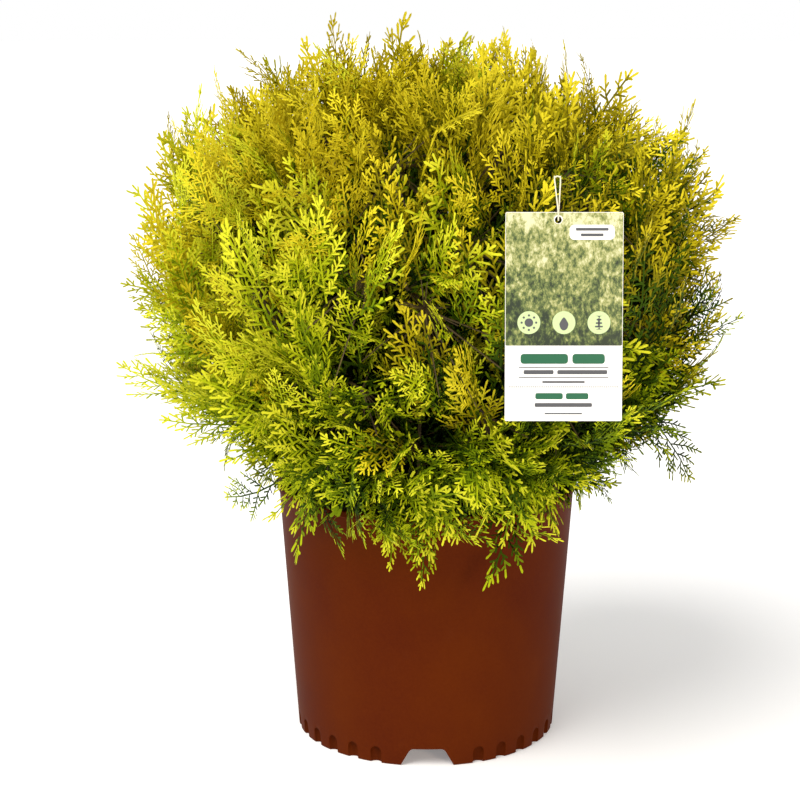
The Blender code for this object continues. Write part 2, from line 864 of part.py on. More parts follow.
def loop_points():
    """A closed route over the twig, down both sides of the card and through its hole."""
    swing = loop_swing()
    top = loop_crown()
    over = [
        top + Vector((swing * math.cos(turn), 0, swing * math.sin(turn) - swing))
        for turn in (math.pi * step / 4 for step in range(5))
    ]
    off_card = TAG_THICKNESS / 2 + LOOP_RADIUS + GAP * 2
    above_card = HOLE_INSET * LOOP_ABOVE_CARD
    front = [
        hole_point(-LOOP_RADIUS, above_card, off_card),
        hole_point(0, HOLE_RADIUS, off_card),
        hole_point(0, 0, off_card / 2),
    ]
    back = [
        hole_point(0, 0, -off_card / 2),
        hole_point(0, HOLE_RADIUS, -off_card),
        hole_point(LOOP_RADIUS, above_card, -off_card),
    ]
    return [*over, *front, *back]


def smooth_closed(points, per_span):
    """A closed smooth curve through the points."""
    count = len(points)
    route = []
    for index in range(count):
        before, start, end, after = (points[(index + step) % count] for step in (-1, 0, 1, 2))
        for step in range(per_span):
            t = step / per_span
            route.append(
                0.5
                * (
                    2 * start
                    + (end - before) * t
                    + (2 * before - 5 * start + 4 * end - after) * t**2
                    + (3 * start - before - 3 * end + after) * t**3
                )
            )
    return route


def make_loop(parts, plant):
    elastic = add_material("loop_elastic", (0.80, 0.80, 0.80), 0.6)
    route = smooth_closed(loop_points(), LOOP_POINTS_PER_SPAN)
    radii = [LOOP_RADIUS] * len(route)
    return tube_object("tag_string", route, radii, LOOP_SIDES, parts, elastic, plant, closed=True)


def loop_twig(mass, masses):
    """The twig that the loop hangs on, in the mass whose space holds it."""
    centre = loop_crown() - UP * loop_swing()
    if nearest(centre, masses, lambda item: item.middle) is not mass:
        return []
    inner = centre + Vector((0, LOOP_TWIG_INSIDE, 0))
    outer = centre - Vector((0, LOOP_TWIG_PAST, 0))
    start = mass.anchor.lerp(mass.middle, LOOP_TWIG_FORK)
    past = inner + (inner - start).normalized() * LOOP_TWIG_OVERLAP
    radius = LOOP_TWIG_RADIUS
    return [
        rod_mesh("loop_twig_root", start, past, TWIG_RADIUS, radius, LOOP_TWIG_SIDES),
        rod_mesh("loop_twig", inner, outer, radius, radius, LOOP_TWIG_SIDES),
    ]


def centre_plant(plant, parts):
    """Moves the whole plant so that its width and depth are centred on the origin."""
    bpy.context.view_layer.update()
    graph = bpy.context.evaluated_depsgraph_get()
    corners = []
    for item in parts.objects:
        shown = item.evaluated_get(graph)
        corners.extend(shown.matrix_world @ Vector(corner) for corner in shown.bound_box)
    for axis in (0, 1):
        places = [corner[axis] for corner in corners]
        plant.location[axis] = -(min(places) + max(places)) / 2


def main():
    clear_scene()
    rng = random.Random(SEED)
    parts = add_collection("dwarf_hinoki_cypress")
    helpers = add_collection("cutters")
    plant = bpy.data.objects.new("plant", None)
    bpy.context.scene.collection.objects.link(plant)
    bark = add_material("bark", (0.13, 0.055, 0.03), 0.85)
    leaf = add_material("foliage", (0.42, 0.46, 0.06), 0.55)

    make_pot(parts, helpers, plant)
    make_soil(parts, plant)
    make_trunk(parts, plant, bark)
    masses = plan_masses(rng)
    make_boughs(masses, parts, plant, bark)
    make_tag(parts, plant)
    make_loop(parts, plant)
    bpy.context.view_layer.update()

    barrier = barrier_from(parts.objects)
    plan_twigs(masses)
    tips = spray_tips(rng)
    grow_masses(masses, tips, barrier, rng, parts, plant, leaf)
    centre_plant(plant, parts)


main()
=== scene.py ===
"""Looks for a dwarf hinoki cypress in its round nursery pot, with a hang tag on an elastic loop.

Metres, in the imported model's frame: +Z up, the front is -Y and the pot stands on z = 0.
"""

import math
import random

import bpy
import numpy as np
from mathutils import Matrix, Vector, noise


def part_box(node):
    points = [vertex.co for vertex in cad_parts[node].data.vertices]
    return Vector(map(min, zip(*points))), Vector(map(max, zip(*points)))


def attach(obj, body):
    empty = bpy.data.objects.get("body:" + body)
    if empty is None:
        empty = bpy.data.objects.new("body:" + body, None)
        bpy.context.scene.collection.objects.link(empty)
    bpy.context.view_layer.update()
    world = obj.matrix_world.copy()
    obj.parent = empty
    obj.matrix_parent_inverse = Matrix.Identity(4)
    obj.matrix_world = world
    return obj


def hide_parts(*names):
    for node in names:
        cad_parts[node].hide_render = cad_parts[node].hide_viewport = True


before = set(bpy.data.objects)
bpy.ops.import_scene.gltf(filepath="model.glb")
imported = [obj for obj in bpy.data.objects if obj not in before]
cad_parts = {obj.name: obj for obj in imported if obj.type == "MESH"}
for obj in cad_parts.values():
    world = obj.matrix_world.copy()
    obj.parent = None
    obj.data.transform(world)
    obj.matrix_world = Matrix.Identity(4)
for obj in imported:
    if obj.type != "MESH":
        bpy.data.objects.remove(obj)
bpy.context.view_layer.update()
UP = Vector((0, 0, 1))

# The pot's axis, which all places below are measured from
POT_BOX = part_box("pot")
AXIS = Vector(((POT_BOX[0].x + POT_BOX[1].x) / 2, (POT_BOX[0].y + POT_BOX[1].y) / 2, 0))

# Camera, at the photograph's height and distance
CAMERA_PLACE = AXIS + Vector((-0.025, -1.9, 0.74))
CAMERA_PITCH = math.radians(12.55)
CAMERA_LENS = 92.9

# Pot
POT_HEIGHT = POT_BOX[1].z
RIM_RADIUS = 0.140
BASE_RADIUS = 0.123
WALL = 0.0022
LIP_OUT = 0.0016
LIP_DEPTH = 0.006
FOOT_WIDTH = 0.010
FLOOR_UNDERSIDE = 0.018
FLOOR_TOP = 0.0205
FLOOR_FILLET = 0.004
FOOT_EDGE = 0.0008
POT_SIDES = 160
POT_BEVEL = 0.0006
LIP_ROUND = 0.0012
FLUTE_POSITIONS = 32
FLUTE_RADIUS = 0.0054
FLUTE_DEPTH = 0.0050
FLUTE_HEIGHT = 0.0162
NOTCH_HEIGHT = 0.0168
NOTCH_WIDTH_BELOW = 0.051
NOTCH_WIDTH_ABOVE = 0.031
NOTCH_CORNER = 0.0030
NOTCH_OVERLAP = 0.002  # of the cutter, below the foot
NOTCH_POSITIONS = (0, 16)
SOIL_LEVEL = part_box("potting_soil")[1].z
SOIL_CLEARANCE = 0.0006
SOIL_LUMPS = ((110, 0.0012), (420, 0.0006))  # scale and depth of each
CHIP_COUNT = 260
CHIP_SIZES = (0.0020, 0.0048)
CHIP_CLEARANCE = 0.004  # round the trunk's foot

# Trunk and boughs, as in the solids
GAP = 0.0003
TRUNK_TIP = Vector((0.010, 0.004, 0.535))
TRUNK_FOOT_RADIUS = 0.0165
TRUNK_RADIUS = 0.0115
TRUNK_TIP_RADIUS = 0.0032
TRUNK_FLARE = 0.022
TRUNK_SWAY = 0.005
BOUGH_RADIUS = 0.0042
BOUGH_TIP_RADIUS = 0.0024
BOUGH_SOCKET = 0.006
FIRST_BOUGH = 0.036
BOUGH_SPACING = 0.0092

# Bark relief: waves to the metre round and up a limb, and depths as shares of its radius
RIDGES_ROUND = 330
RIDGES_UP = 38
KNOTS = 120
RIDGE_DEPTH = 0.13
KNOT_DEPTH = 0.08
RELIEF_INSET = 0.04

# Crown, as in the solids
CROWN_CENTRE = Vector((0.002, 0, 0.40))
CROWN_HALF_WIDTH = 0.280
CROWN_RISE = 0.259
CROWN_DROP = 0.217
CROWN_SQUARENESS_ABOVE = 3.2
CROWN_SQUARENESS_BELOW = 2.4
SKIRT_INNER_RADIUS = 0.152
SKIRT_TOP = 0.27
# Tiers of masses: name, count, first azimuth, radius and height of the masses, and of the boughs' tips
TIERS = (
    ("skirt", 7, 10, 0.172, 0.262, 0.122, 0.338),
    ("lower", 7, 36, 0.208, 0.352, 0.118, 0.362),
    ("middle", 7, 10, 0.204, 0.462, 0.108, 0.428),
    ("upper", 5, 30, 0.134, 0.562, 0.066, 0.500),
    ("top", 1, 0, 0.0, 0.605, 0.0, 0.535),
)
AZIMUTH_JITTER = 7.0
HEIGHT_JITTER = 0.006
SEED = 5894
TWIG_POINTS = 88
SOURCE_SPRAY_LENGTH = 0.094
# Tips that stand proud of the crown: azimuth, height and distance from the axis
PROUD_TIPS = (
    (180, 0.655, 0.166),
    (186, 0.355, 0.288),
    (184, 0.435, 0.284),
    (178, 0.585, 0.246),
    (176, 0.212, 0.200),
    (0, 0.402, 0.296),
    (-3, 0.500, 0.288),
    (2, 0.592, 0.260),
    (-8, 0.250, 0.262),
    (100, 0.470, 0.286),
    (-84, 0.420, 0.282),
    (60, 0.650, 0.120),
)

# Hang tag and its elastic loop, as in the solids
TAG_WIDTH = 0.094
TAG_HEIGHT = 0.167
TAG_THICKNESS = 0.0009
TAG_CORNER = 0.0014
TAG_BEVEL = 0.00012
TAG_TOP = Vector((0.106, -0.264, 0.529))
TAG_LEAN = math.radians(7.5)
HOLE_RADIUS = 0.0028
HOLE_INSET = 0.0062
HOLE_OFFSET = -0.005
LOOP_RADIUS = 0.0006
LOOP_TOP = 0.556
LOOP_PLANE = -0.250
LOOP_TWIG_RADIUS = 0.0013
# The tag's own frame: X to the right, Y up the card, Z out of its printed face
TAG_FRAME = Matrix.Translation(TAG_TOP) @ Matrix.Rotation(math.pi / 2 - TAG_LEAN, 4, "X")


def polar(turn, radius, height=0):
    """A place at a turn round the Z axis, in radians."""
    return Vector((radius * math.cos(turn), radius * math.sin(turn), height))


# Shader building

class Value:
    """A shader socket; arithmetic on it adds Math nodes."""

    def __init__(self, finish, socket):
        self.finish = finish
        self.socket = socket

    def maths(self, operation, first, second):
        node = self.finish.add("ShaderNodeMath", {"operation": operation}, {0: first, 1: second})
        return Value(self.finish, node.outputs[0])

    def __add__(self, other):
        return self.maths("ADD", self, other)

    def __radd__(self, other):
        return self.maths("ADD", other, self)

    def __sub__(self, other):
        return self.maths("SUBTRACT", self, other)

    def __mul__(self, other):
        return self.maths("MULTIPLY", self, other)


class Finish:
    """A material on the object's own coordinates."""

    def __init__(self, name, roughness, **constants):
        self.material = bpy.data.materials.new(name)
        self.material.use_nodes = True
        self.tree = self.material.node_tree
        self.shader = self.tree.nodes["Principled BSDF"]
        self.shader.inputs["Roughness"].default_value = roughness
        for socket, value in constants.items():
            self.shader.inputs[socket.replace("_", " ")].default_value = value

    def add(self, kind, settings=None, inputs=None):
        node = self.tree.nodes.new(kind)
        for name, value in (settings or {}).items():
            setattr(node, name, value)
        for name, value in (inputs or {}).items():
            self.put(node.inputs[name], value)
        return node

    def put(self, socket, value):
        if isinstance(value, Value):
            value = value.socket
        if isinstance(value, bpy.types.NodeSocket):
            self.tree.links.new(value, socket)
        else:
            socket.default_value = value

    def place(self, centre=(0, 0, 0), scale=(1, 1, 1), turn=(0, 0, 0)):
        """The object's own coordinates from a centre, turned and stretched."""
        coordinates = self.add("ShaderNodeTexCoord").outputs["Object"]
        ends = {0: coordinates, 1: tuple(centre)}
        moved = self.add("ShaderNodeVectorMath", {"operation": "SUBTRACT"}, ends)
        inputs = {"Vector": moved.outputs[0], "Scale": scale, "Rotation": turn}
        return self.add("ShaderNodeMapping", {"vector_type": "POINT"}, inputs).outputs[0]

    def noise(self, scale, detail=3.0, roughness=0.55, at=None):
        inputs = {"Vector": at or self.place(), "Scale": scale, "Detail": detail, "Roughness": roughness}
        return Value(self, self.add("ShaderNodeTexNoise", inputs=inputs).outputs["Fac"])

    def ramp(self, value, stops):
        """The colour for a value, blended between colours at their stops."""
        node = self.add("ShaderNodeValToRGB", inputs={"Fac": value})
        elements = node.color_ramp.elements
        while len(elements) < len(stops):
            elements.new(0.5)
        for element, (place, colour) in zip(elements, stops):
            element.position = place
            element.color = (*colour, 1)
        return node.outputs["Color"]

    def mix(self, factor, first, second):
        """A colour between two, each four numbers or a link."""
        inputs = {"Factor": factor, 6: first, 7: second}
        return self.add("ShaderNodeMix", {"data_type": "RGBA"}, inputs).outputs[2]

    def colour(self, value):
        self.put(self.shader.inputs["Base Color"], value)

    def roughness(self, value):
        self.put(self.shader.inputs["Roughness"], value)

    def bump(self, height, distance, strength):
        inputs = {"Strength": strength, "Distance": distance, "Height": height}
        node = self.add("ShaderNodeBump", inputs=inputs)
        self.put(self.shader.inputs["Normal"], node.outputs["Normal"])


def pot_plastic_finish():
    """Moulded red-brown plastic: cloudy colour, fine grain and light scuffs."""
    finish = Finish("moulded_pot_plastic", 0.5, Specular_IOR_Level=0.025)
    cloud = finish.noise(9.0, 4.0)
    fleck = finish.noise(420.0, 2.0)
    streak = finish.noise(60.0, 3.0, at=finish.place(scale=(1.0, 1.0, 0.08)))
    dust = finish.noise(34.0, 6.0, 0.7)
    brown = finish.ramp(cloud, [(0.30, (0.066, 0.0085, 0.0016)), (0.72, (0.092, 0.0150, 0.0008))])
    grained = finish.mix((fleck - 0.5) * 0.5 + 0.12, brown, (0.120, 0.022, 0.002, 1))
    finish.colour(finish.mix((dust - 0.60) * streak, grained, (0.130, 0.036, 0.012, 1)))
    finish.roughness(0.46 + cloud * 0.10 + fleck * 0.08)
    finish.bump(fleck * 0.6 + streak * 0.4, 0.00012, 0.5)
    return finish.material


def potting_mix_finish():
    """Damp composted bark and peat."""
    finish = Finish("damp_potting_mix", 0.9)
    grain = finish.noise(240.0, 6.0, 0.7)
    patch = finish.noise(30.0, 3.0)
    dark = finish.ramp(grain, [(0.35, (0.012, 0.007, 0.004)), (0.70, (0.075, 0.043, 0.024))])
    finish.colour(finish.mix(patch * 0.5, dark, (0.050, 0.026, 0.014, 1)))
    finish.roughness(0.78 + grain * 0.2)
    finish.bump(grain, 0.0008, 0.8)
    return finish.material


def bark_chip_finish():
    finish = Finish("composted_bark_chips", 0.88)
    fibre = finish.noise(300.0, 4.0, at=finish.place(scale=(1, 1, 0.3)))
    finish.colour(finish.ramp(fibre, [(0.3, (0.030, 0.014, 0.008)), (0.72, (0.150, 0.078, 0.040))]))
    finish.bump(fibre, 0.0005, 0.7)
    return finish.material


def bark_finish():
    """Red-brown bark in long fibrous strips, its colours darkened overall as painted shade of the crown's
    dark inside.
    """
    finish = Finish("fibrous_red_bark", 0.86)
    strips = finish.noise(230.0, 5.0, 0.65, at=finish.place(AXIS, (1, 1, 0.10)))
    patch = finish.noise(42.0, 3.0)
    # Strip colours darkened overall: painted shade of the crown's inside.
    dark = [(0.32, (0.020, 0.008, 0.004)), (0.52, (0.070, 0.028, 0.014))]
    strip = finish.ramp(strips, [*dark, (0.74, (0.150, 0.075, 0.040))])
    finish.colour(finish.mix(patch * 0.55, strip, (0.095, 0.055, 0.034, 1)))
    finish.roughness(0.74 + strips * 0.22)
    finish.bump(strips, 0.0009, 0.9)
    return finish.material


def twig_finish():
    """Young wood, tan with a green cast."""
    finish = Finish("young_twig_bark", 0.7)
    patch = finish.noise(150.0, 2.0)
    finish.colour(finish.ramp(patch, [(0.3, (0.045, 0.022, 0.006)), (0.7, (0.110, 0.080, 0.012))]))
    finish.roughness(0.6 + patch * 0.2)
    return finish.material


def spray_finish(name, colour):
    """One plain tint of scale leaves, with the soft gloss of living foliage."""
    finish = Finish(name, 0.5, Specular_IOR_Level=0.03)
    finish.colour((*colour, 1))
    return finish.material


def card_finish():
    """Smooth coated card with a faint tooth."""
    finish = Finish("coated_tag_card", 0.4)
    tooth = finish.noise(900.0, 2.0)
    cloud = finish.noise(25.0, 2.0)
    finish.colour(finish.ramp(cloud, [(0.3, (0.80, 0.80, 0.78)), (0.7, (0.86, 0.86, 0.85))]))
    finish.roughness(0.34 + tooth * 0.14)
    finish.bump(tooth, 0.00003, 0.4)
    return finish.material


def leafy_print_finish():
    """Plain leafy dapple for the tag's picture panel."""
    finish = Finish("leafy_dapple_print", 0.34)
    slanted = finish.place(TAG_TOP + AXIS, (1.0, 1.0, 0.6), (0, math.radians(38), 0))
    dapple = finish.noise(300.0, 6.0, 0.72, at=slanted)
    clump = finish.noise(60.0, 3.0)
    height = finish.add("ShaderNodeSeparateXYZ", inputs={"Vector": finish.place(TAG_TOP + AXIS)})
    rise = Value(finish, height.outputs["Z"]) * 1.6
    shades = [(0.37, (0.014, 0.026, 0.010)), (0.45, (0.090, 0.130, 0.032))]
    lights = [(0.52, (0.290, 0.310, 0.100)), (0.62, (0.640, 0.640, 0.380))]
    finish.colour(finish.ramp(dapple * 0.66 + clump * 0.34 + rise + 0.06, shades + lights))
    finish.roughness(0.30 + dapple * 0.1)
    return finish.material


def ink_finish(name, colour):
    finish = Finish(name, 0.4)
    tooth = finish.noise(700.0, 2.0)
    darker = tuple(share * 0.86 for share in colour)
    finish.colour(finish.mix(tooth, (*darker, 1), (*colour, 1)))
    finish.roughness(0.34 + tooth * 0.12)
    return finish.material


def elastic_finish():
    """Pale stretch cord with a fine wound cover."""
    finish = Finish("pale_elastic_cord", 0.6)
    winding = finish.noise(2600.0, 1.0, at=finish.place(scale=(1, 1, 2.2)))
    finish.colour(finish.ramp(winding, [(0.35, (0.60, 0.55, 0.36)), (0.65, (0.86, 0.83, 0.68))]))
    finish.bump(winding, 0.0001, 0.8)
    return finish.material


# Modelling by hand

def deselect():
    bpy.ops.object.select_all(action="DESELECT")


def activate(piece):
    """Makes the piece the active object, and the only one selected."""
    deselect()
    piece.select_set(True)
    bpy.context.view_layer.objects.active = piece


def mode(wanted):
    bpy.ops.object.mode_set(mode=wanted)


def linked(name, data):
    """A new object in the scene for a mesh, curve, camera or light."""
    item = bpy.data.objects.new(name, data)
    bpy.context.scene.collection.objects.link(item)
    return item


def named(name, material=None):
    """Names the active object and gives it its material."""
    piece = bpy.context.object
    piece.name = name
    piece.data.name = name
    if material:
        piece.data.materials.append(material)
    return piece


def pick(piece, wanted):
    """Selects the vertices for which wanted(place) is true, ready in edit mode."""
    mode("EDIT")
    bpy.ops.mesh.select_mode(type="VERT")
    bpy.ops.mesh.select_all(action="DESELECT")
    mode("OBJECT")
    for vertex in piece.data.vertices:
        vertex.select = wanted(vertex.co)
    mode("EDIT")


def settle(piece):
    """Puts the object's place into its mesh, so that it sits at the origin."""
    activate(piece)
    bpy.ops.object.transform_apply(location=True, rotation=True, scale=True)


def outward(piece):
    """Merges doubled points and turns every face outwards."""
    activate(piece)
    mode("EDIT")
    bpy.ops.mesh.select_all(action="SELECT")
    bpy.ops.mesh.remove_doubles(threshold=0.000005)
    bpy.ops.mesh.normals_make_consistent(inside=False)
    mode("OBJECT")


def smooth(piece, degrees):
    activate(piece)
    bpy.ops.object.shade_smooth_by_angle(angle=math.radians(degrees))


def joined(name, pieces):
    activate(pieces[0])
    for piece in pieces:
        piece.select_set(True)
    if len(pieces) > 1:
        bpy.ops.object.join()
    return named(name)


def turned(name, rings, sides, material, centre=AXIS):
    """A round piece drawn up from a disc, ring by ring: radius and height of each."""
    deselect()
    radius, height = rings[0]
    middle = (centre.x, centre.y, height)
    bpy.ops.mesh.primitive_circle_add(vertices=sides, radius=radius, fill_type="NGON", location=middle)
    piece = named(name, material)
    settle(piece)
    mode("EDIT")
    bpy.ops.mesh.select_all(action="SELECT")
    for next_radius, next_height in rings[1:]:
        rise = (0, 0, next_height - height)
        bpy.ops.mesh.extrude_region_move(TRANSFORM_OT_translate={"value": rise})
        share = next_radius / radius
        middle = (centre.x, centre.y, next_height)
        bpy.ops.transform.resize(value=(share, share, 1), center_override=middle)
        radius, height = next_radius, next_height
    mode("OBJECT")
    outward(piece)
    return piece


def apply_modifier(piece, kind, **settings):
    """Adds a modifier to the piece and applies it."""
    modifier = piece.modifiers.new(kind, kind)
    for name, value in settings.items():
        setattr(modifier, name, value)
    activate(piece)
    bpy.ops.object.modifier_apply(modifier=modifier.name)


def cut_from(piece, cutter):
    """Takes the cutter away from the piece."""
    apply_modifier(piece, "BOOLEAN", operation="DIFFERENCE", solver="EXACT", object=cutter)
    bpy.data.objects.remove(cutter, do_unlink=True)


def apply_bevel(piece, width, segments, degrees):
    """Rounds the edges that turn by more than the given angle."""
    limit = {"limit_method": "ANGLE", "angle_limit": math.radians(degrees)}
    apply_modifier(piece, "BEVEL", width=width, segments=segments, **limit)


def new_curve(name, dimensions, **settings):
    curve = bpy.data.curves.new(name, "CURVE")
    curve.dimensions = dimensions
    for setting, value in settings.items():
        setattr(curve, setting, value)
    return curve


def add_line(curve, places, closed=True):
    """Adds a line through the places to a curve and hands back its points."""
    spline = curve.splines.new("POLY")
    spline.points.add(len(places) - 1)
    spline.use_cyclic_u = closed
    for point, place in zip(spline.points, places):
        point.co = (*place, 1)
    return spline.points


def meshed(name, curve, material):
    """A curve as a mesh in the scene."""
    activate(linked(name, curve))
    bpy.ops.object.convert(target="MESH")
    return named(name, material)


# Pot

def wall_radius(height):
    return BASE_RADIUS + (RIM_RADIUS - BASE_RADIUS) * height / POT_HEIGHT


def pot_rings():
    """Up the inside from the floor, round the rolled lip and down to the hollow foot."""
    floor_radius = wall_radius(FLOOR_TOP) - WALL
    rings = [(floor_radius - FLOOR_FILLET, FLOOR_TOP), (floor_radius, FLOOR_TOP + FLOOR_FILLET)]
    rings.append((RIM_RADIUS - WALL, POT_HEIGHT - 0.0008))
    middle = RIM_RADIUS + (LIP_OUT - WALL) / 2
    half = (LIP_OUT + WALL) / 2
    for step in range(1, 8):
        turn = math.pi - math.pi * step / 8
        rings.append((middle + half * math.cos(turn), POT_HEIGHT - LIP_ROUND + LIP_ROUND * math.sin(turn)))
    lip_side = RIM_RADIUS + LIP_OUT
    lip_foot = POT_HEIGHT - LIP_DEPTH
    rings += [
        (lip_side, POT_HEIGHT - 0.0014),
        (lip_side, lip_foot + 0.0006),
        (lip_side - 0.0005, lip_foot),
        (wall_radius(lip_foot) + 0.0004, lip_foot - 0.0008),
        (wall_radius(lip_foot - LIP_OUT), lip_foot - LIP_OUT),
    ]
    for share in (0.8, 0.6, 0.4, 0.2, 0.09):
        rings.append((wall_radius(POT_HEIGHT * share), POT_HEIGHT * share))
    inner_foot = BASE_RADIUS - FOOT_WIDTH
    return rings + [
        (wall_radius(FOOT_EDGE), FOOT_EDGE),
        (BASE_RADIUS - FOOT_EDGE, 0),
        (inner_foot + FOOT_EDGE, 0),
        (inner_foot, FOOT_EDGE),
        (inner_foot, FLOOR_UNDERSIDE - 0.002),
        (inner_foot - 0.002, FLOOR_UNDERSIDE),
    ]


def foot_place(position, radius):
    """A place round the foot, counted from the front, and the turn that faces outwards there."""
    angle = -math.pi / 2 + math.tau * position / FLUTE_POSITIONS
    return AXIS + polar(angle, radius), angle


def flute_cutter(position):
    """An upright rod with a domed head, which leaves a round-headed flute."""
    place, _ = foot_place(position, BASE_RADIUS - FLUTE_DEPTH + FLUTE_RADIUS)
    spring = FLUTE_HEIGHT - FLUTE_RADIUS
    rings = [(FLUTE_RADIUS, -0.003)]
    for degrees in (0, 20, 40, 58, 74, 85):
        turn = math.radians(degrees)
        rings.append((FLUTE_RADIUS * math.cos(turn), spring + FLUTE_RADIUS * math.sin(turn)))
    return turned("flute_cutter", rings, 24, None, place)


def notch_cutter(position):
    """A block with sloping sides and rounded upper corners, through the foot."""
    deselect()
    place, angle = foot_place(position, BASE_RADIUS - FOOT_WIDTH / 2)
    middle = (0, 0, (NOTCH_HEIGHT - NOTCH_OVERLAP) / 2)
    size = (NOTCH_WIDTH_BELOW, FOOT_WIDTH * 3, NOTCH_HEIGHT + NOTCH_OVERLAP)
    bpy.ops.mesh.primitive_cube_add(size=1, location=middle, scale=size)
    cutter = named("notch_cutter")
    settle(cutter)
    pick(cutter, lambda co: co.z > 0)
    share = NOTCH_WIDTH_ABOVE / NOTCH_WIDTH_BELOW
    bpy.ops.transform.resize(value=(share, 1, 1), center_override=(0, 0, NOTCH_HEIGHT))
    bpy.ops.mesh.select_mode(type="EDGE")
    mode("OBJECT")
    for edge in cutter.data.edges:
        ends = [cutter.data.vertices[index].co for index in edge.vertices]
        edge.select = all(end.z > 0 for end in ends) and abs(ends[0].x - ends[1].x) < 0.001
    mode("EDIT")
    bpy.ops.mesh.bevel(offset=NOTCH_CORNER, segments=4)
    mode("OBJECT")
    cutter.rotation_euler.z = angle + math.pi / 2
    cutter.location = place
    settle(cutter)
    return cutter


def make_pot():
    """The nursery pot: rolled lip, straight taper, arched flutes and two notches at the foot."""
    pot = turned("nursery_pot", pot_rings(), POT_SIDES, pot_plastic_finish())
    near_notch = {(n + step) % FLUTE_POSITIONS for n in NOTCH_POSITIONS for step in (-1, 0, 1)}
    flutes = [flute_cutter(n) for n in range(FLUTE_POSITIONS) if n not in near_notch]
    cut_from(pot, joined("flute_cutters", flutes))
    for position in NOTCH_POSITIONS:
        cut_from(pot, notch_cutter(position))
    apply_bevel(pot, POT_BEVEL, 3, 40)
    smooth(pot, 35)
    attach(pot, "root")
    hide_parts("pot")


# Potting mix

def make_soil(rng):
    """The filled pot's surface: a rough bed of mix with bark chips on it."""
    floor = FLOOR_TOP + 0.0008
    inner = wall_radius(SOIL_LEVEL) - WALL - SOIL_CLEARANCE
    rings = [(0.06, floor), (wall_radius(FLOOR_TOP) - WALL - SOIL_CLEARANCE, floor)]
    rings.append((inner, SOIL_LEVEL - 0.0012))
    rings += [(inner * share, SOIL_LEVEL - 0.0006) for share in (0.97, 0.85, 0.7, 0.55, 0.4, 0.25, 0.1)]
    bed = turned("potting_mix_bed", rings, 72, potting_mix_finish())
    apply_modifier(bed, "SUBSURF", subdivision_type="SIMPLE", levels=2, render_levels=2)
    for vertex in bed.data.vertices:
        if vertex.co.z > SOIL_LEVEL - 0.001:
            lumps = sum(noise.noise(vertex.co * scale) * depth for scale, depth in SOIL_LUMPS)
            vertex.co.z += min(lumps, 0.0006)
    smooth(bed, 60)
    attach(bed, "root")
    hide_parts("potting_soil")
    make_litter(inner, rng)


def make_litter(inner, rng):
    """Bark chips scattered over the mix, clear of the trunk."""
    deselect()
    bpy.ops.mesh.primitive_ico_sphere_add(subdivisions=1, radius=1, location=(0, 0, 0))
    lump = named("bark_chip", bark_chip_finish())
    for vertex in lump.data.vertices:
        vertex.co *= 0.8 + 0.4 * noise.noise(vertex.co * 2.1)
    chips = []
    for number in range(CHIP_COUNT):
        radius = inner * math.sqrt(rng.random()) * 0.96
        turn = rng.uniform(0, math.tau)
        if radius < TRUNK_FOOT_RADIUS + CHIP_CLEARANCE:
            continue
        size = rng.uniform(*CHIP_SIZES)
        place = Matrix.Translation(AXIS + polar(turn, radius, SOIL_LEVEL - size * 0.12))
        spin = Matrix.Rotation(rng.uniform(0, math.tau), 4, "Z")
        flat = Matrix.Diagonal((size, size * rng.uniform(0.4, 0.8), size * 0.32, 1))
        chip = linked(f"chip_{number}", lump.data.copy())
        chip.data.transform(place @ spin @ flat)
        chips.append(chip)
    bpy.data.objects.remove(lump, do_unlink=True)
    litter = joined("bark_chip_litter", chips)
    outward(litter)
    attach(litter, "root")


# Trunk and boughs

def bend(start, middle, end, share):
    """A point on the quadratic curve from start to end, drawn towards the middle."""
    first = start.lerp(middle, share)
    second = middle.lerp(end, share)
    return first.lerp(second, share)


def trunk_point(share):
    foot = Vector((0, 0, SOIL_LEVEL + GAP))
    point = foot.lerp(TRUNK_TIP, share)
    point.x += TRUNK_SWAY * math.sin(math.pi * share) * share
    point.y -= TRUNK_SWAY * math.sin(math.tau * share) * share / 2
    return point


def trunk_radius(share):
    height = share * (TRUNK_TIP.z - SOIL_LEVEL)
    taper = TRUNK_RADIUS + (TRUNK_TIP_RADIUS - TRUNK_RADIUS) * share
    flare = (TRUNK_FOOT_RADIUS - TRUNK_RADIUS) * math.exp(-3 * height / TRUNK_FLARE)
    return taper + flare


def bough_route(start_height, tip, rings):
    share = (start_height - SOIL_LEVEL) / (TRUNK_TIP.z - SOIL_LEVEL)
    axis = trunk_point(share)
    away = Vector((tip.x - axis.x, tip.y - axis.y, 0)).normalized()
    start = axis + away * (trunk_radius(share) - 0.001)
    socket = axis + away * (trunk_radius(share) + GAP + BOUGH_SOCKET)
    middle = socket + away * (tip - socket).length * 0.35
    sweep = [bend(socket, middle, tip, ring / (rings - 1)) for ring in range(rings)]
    return [start, *sweep]


def limb(name, points, radii, sides, material):
    """A limb along the points with bark relief: long ridges that run up it."""
    detail = (sides - 4) // 2
    curve = new_curve(name, "3D", bevel_depth=1.0, bevel_resolution=detail, use_fill_caps=True)
    places = [point + AXIS for point in points]
    for point, radius in zip(add_line(curve, places, closed=False), radii):
        point.radius = radius
    piece = meshed(name, curve, material)
    outward(piece)
    moves = []
    for vertex in piece.data.vertices:
        closest = min(range(len(places)), key=lambda i: (places[i] - vertex.co).length_squared)
        at = vertex.co - AXIS
        ridges = noise.noise(Vector((at.x * RIDGES_ROUND, at.y * RIDGES_ROUND, at.z * RIDGES_UP)))
        knots = noise.noise(at * KNOTS)
        relief = RIDGE_DEPTH * ridges + KNOT_DEPTH * knots - RELIEF_INSET
        moves.append(vertex.normal * radii[closest] * relief)
    for vertex, move in zip(piece.data.vertices, moves):
        vertex.co += move
    return piece


def steps(count):
    return [index / (count - 1) for index in range(count)]


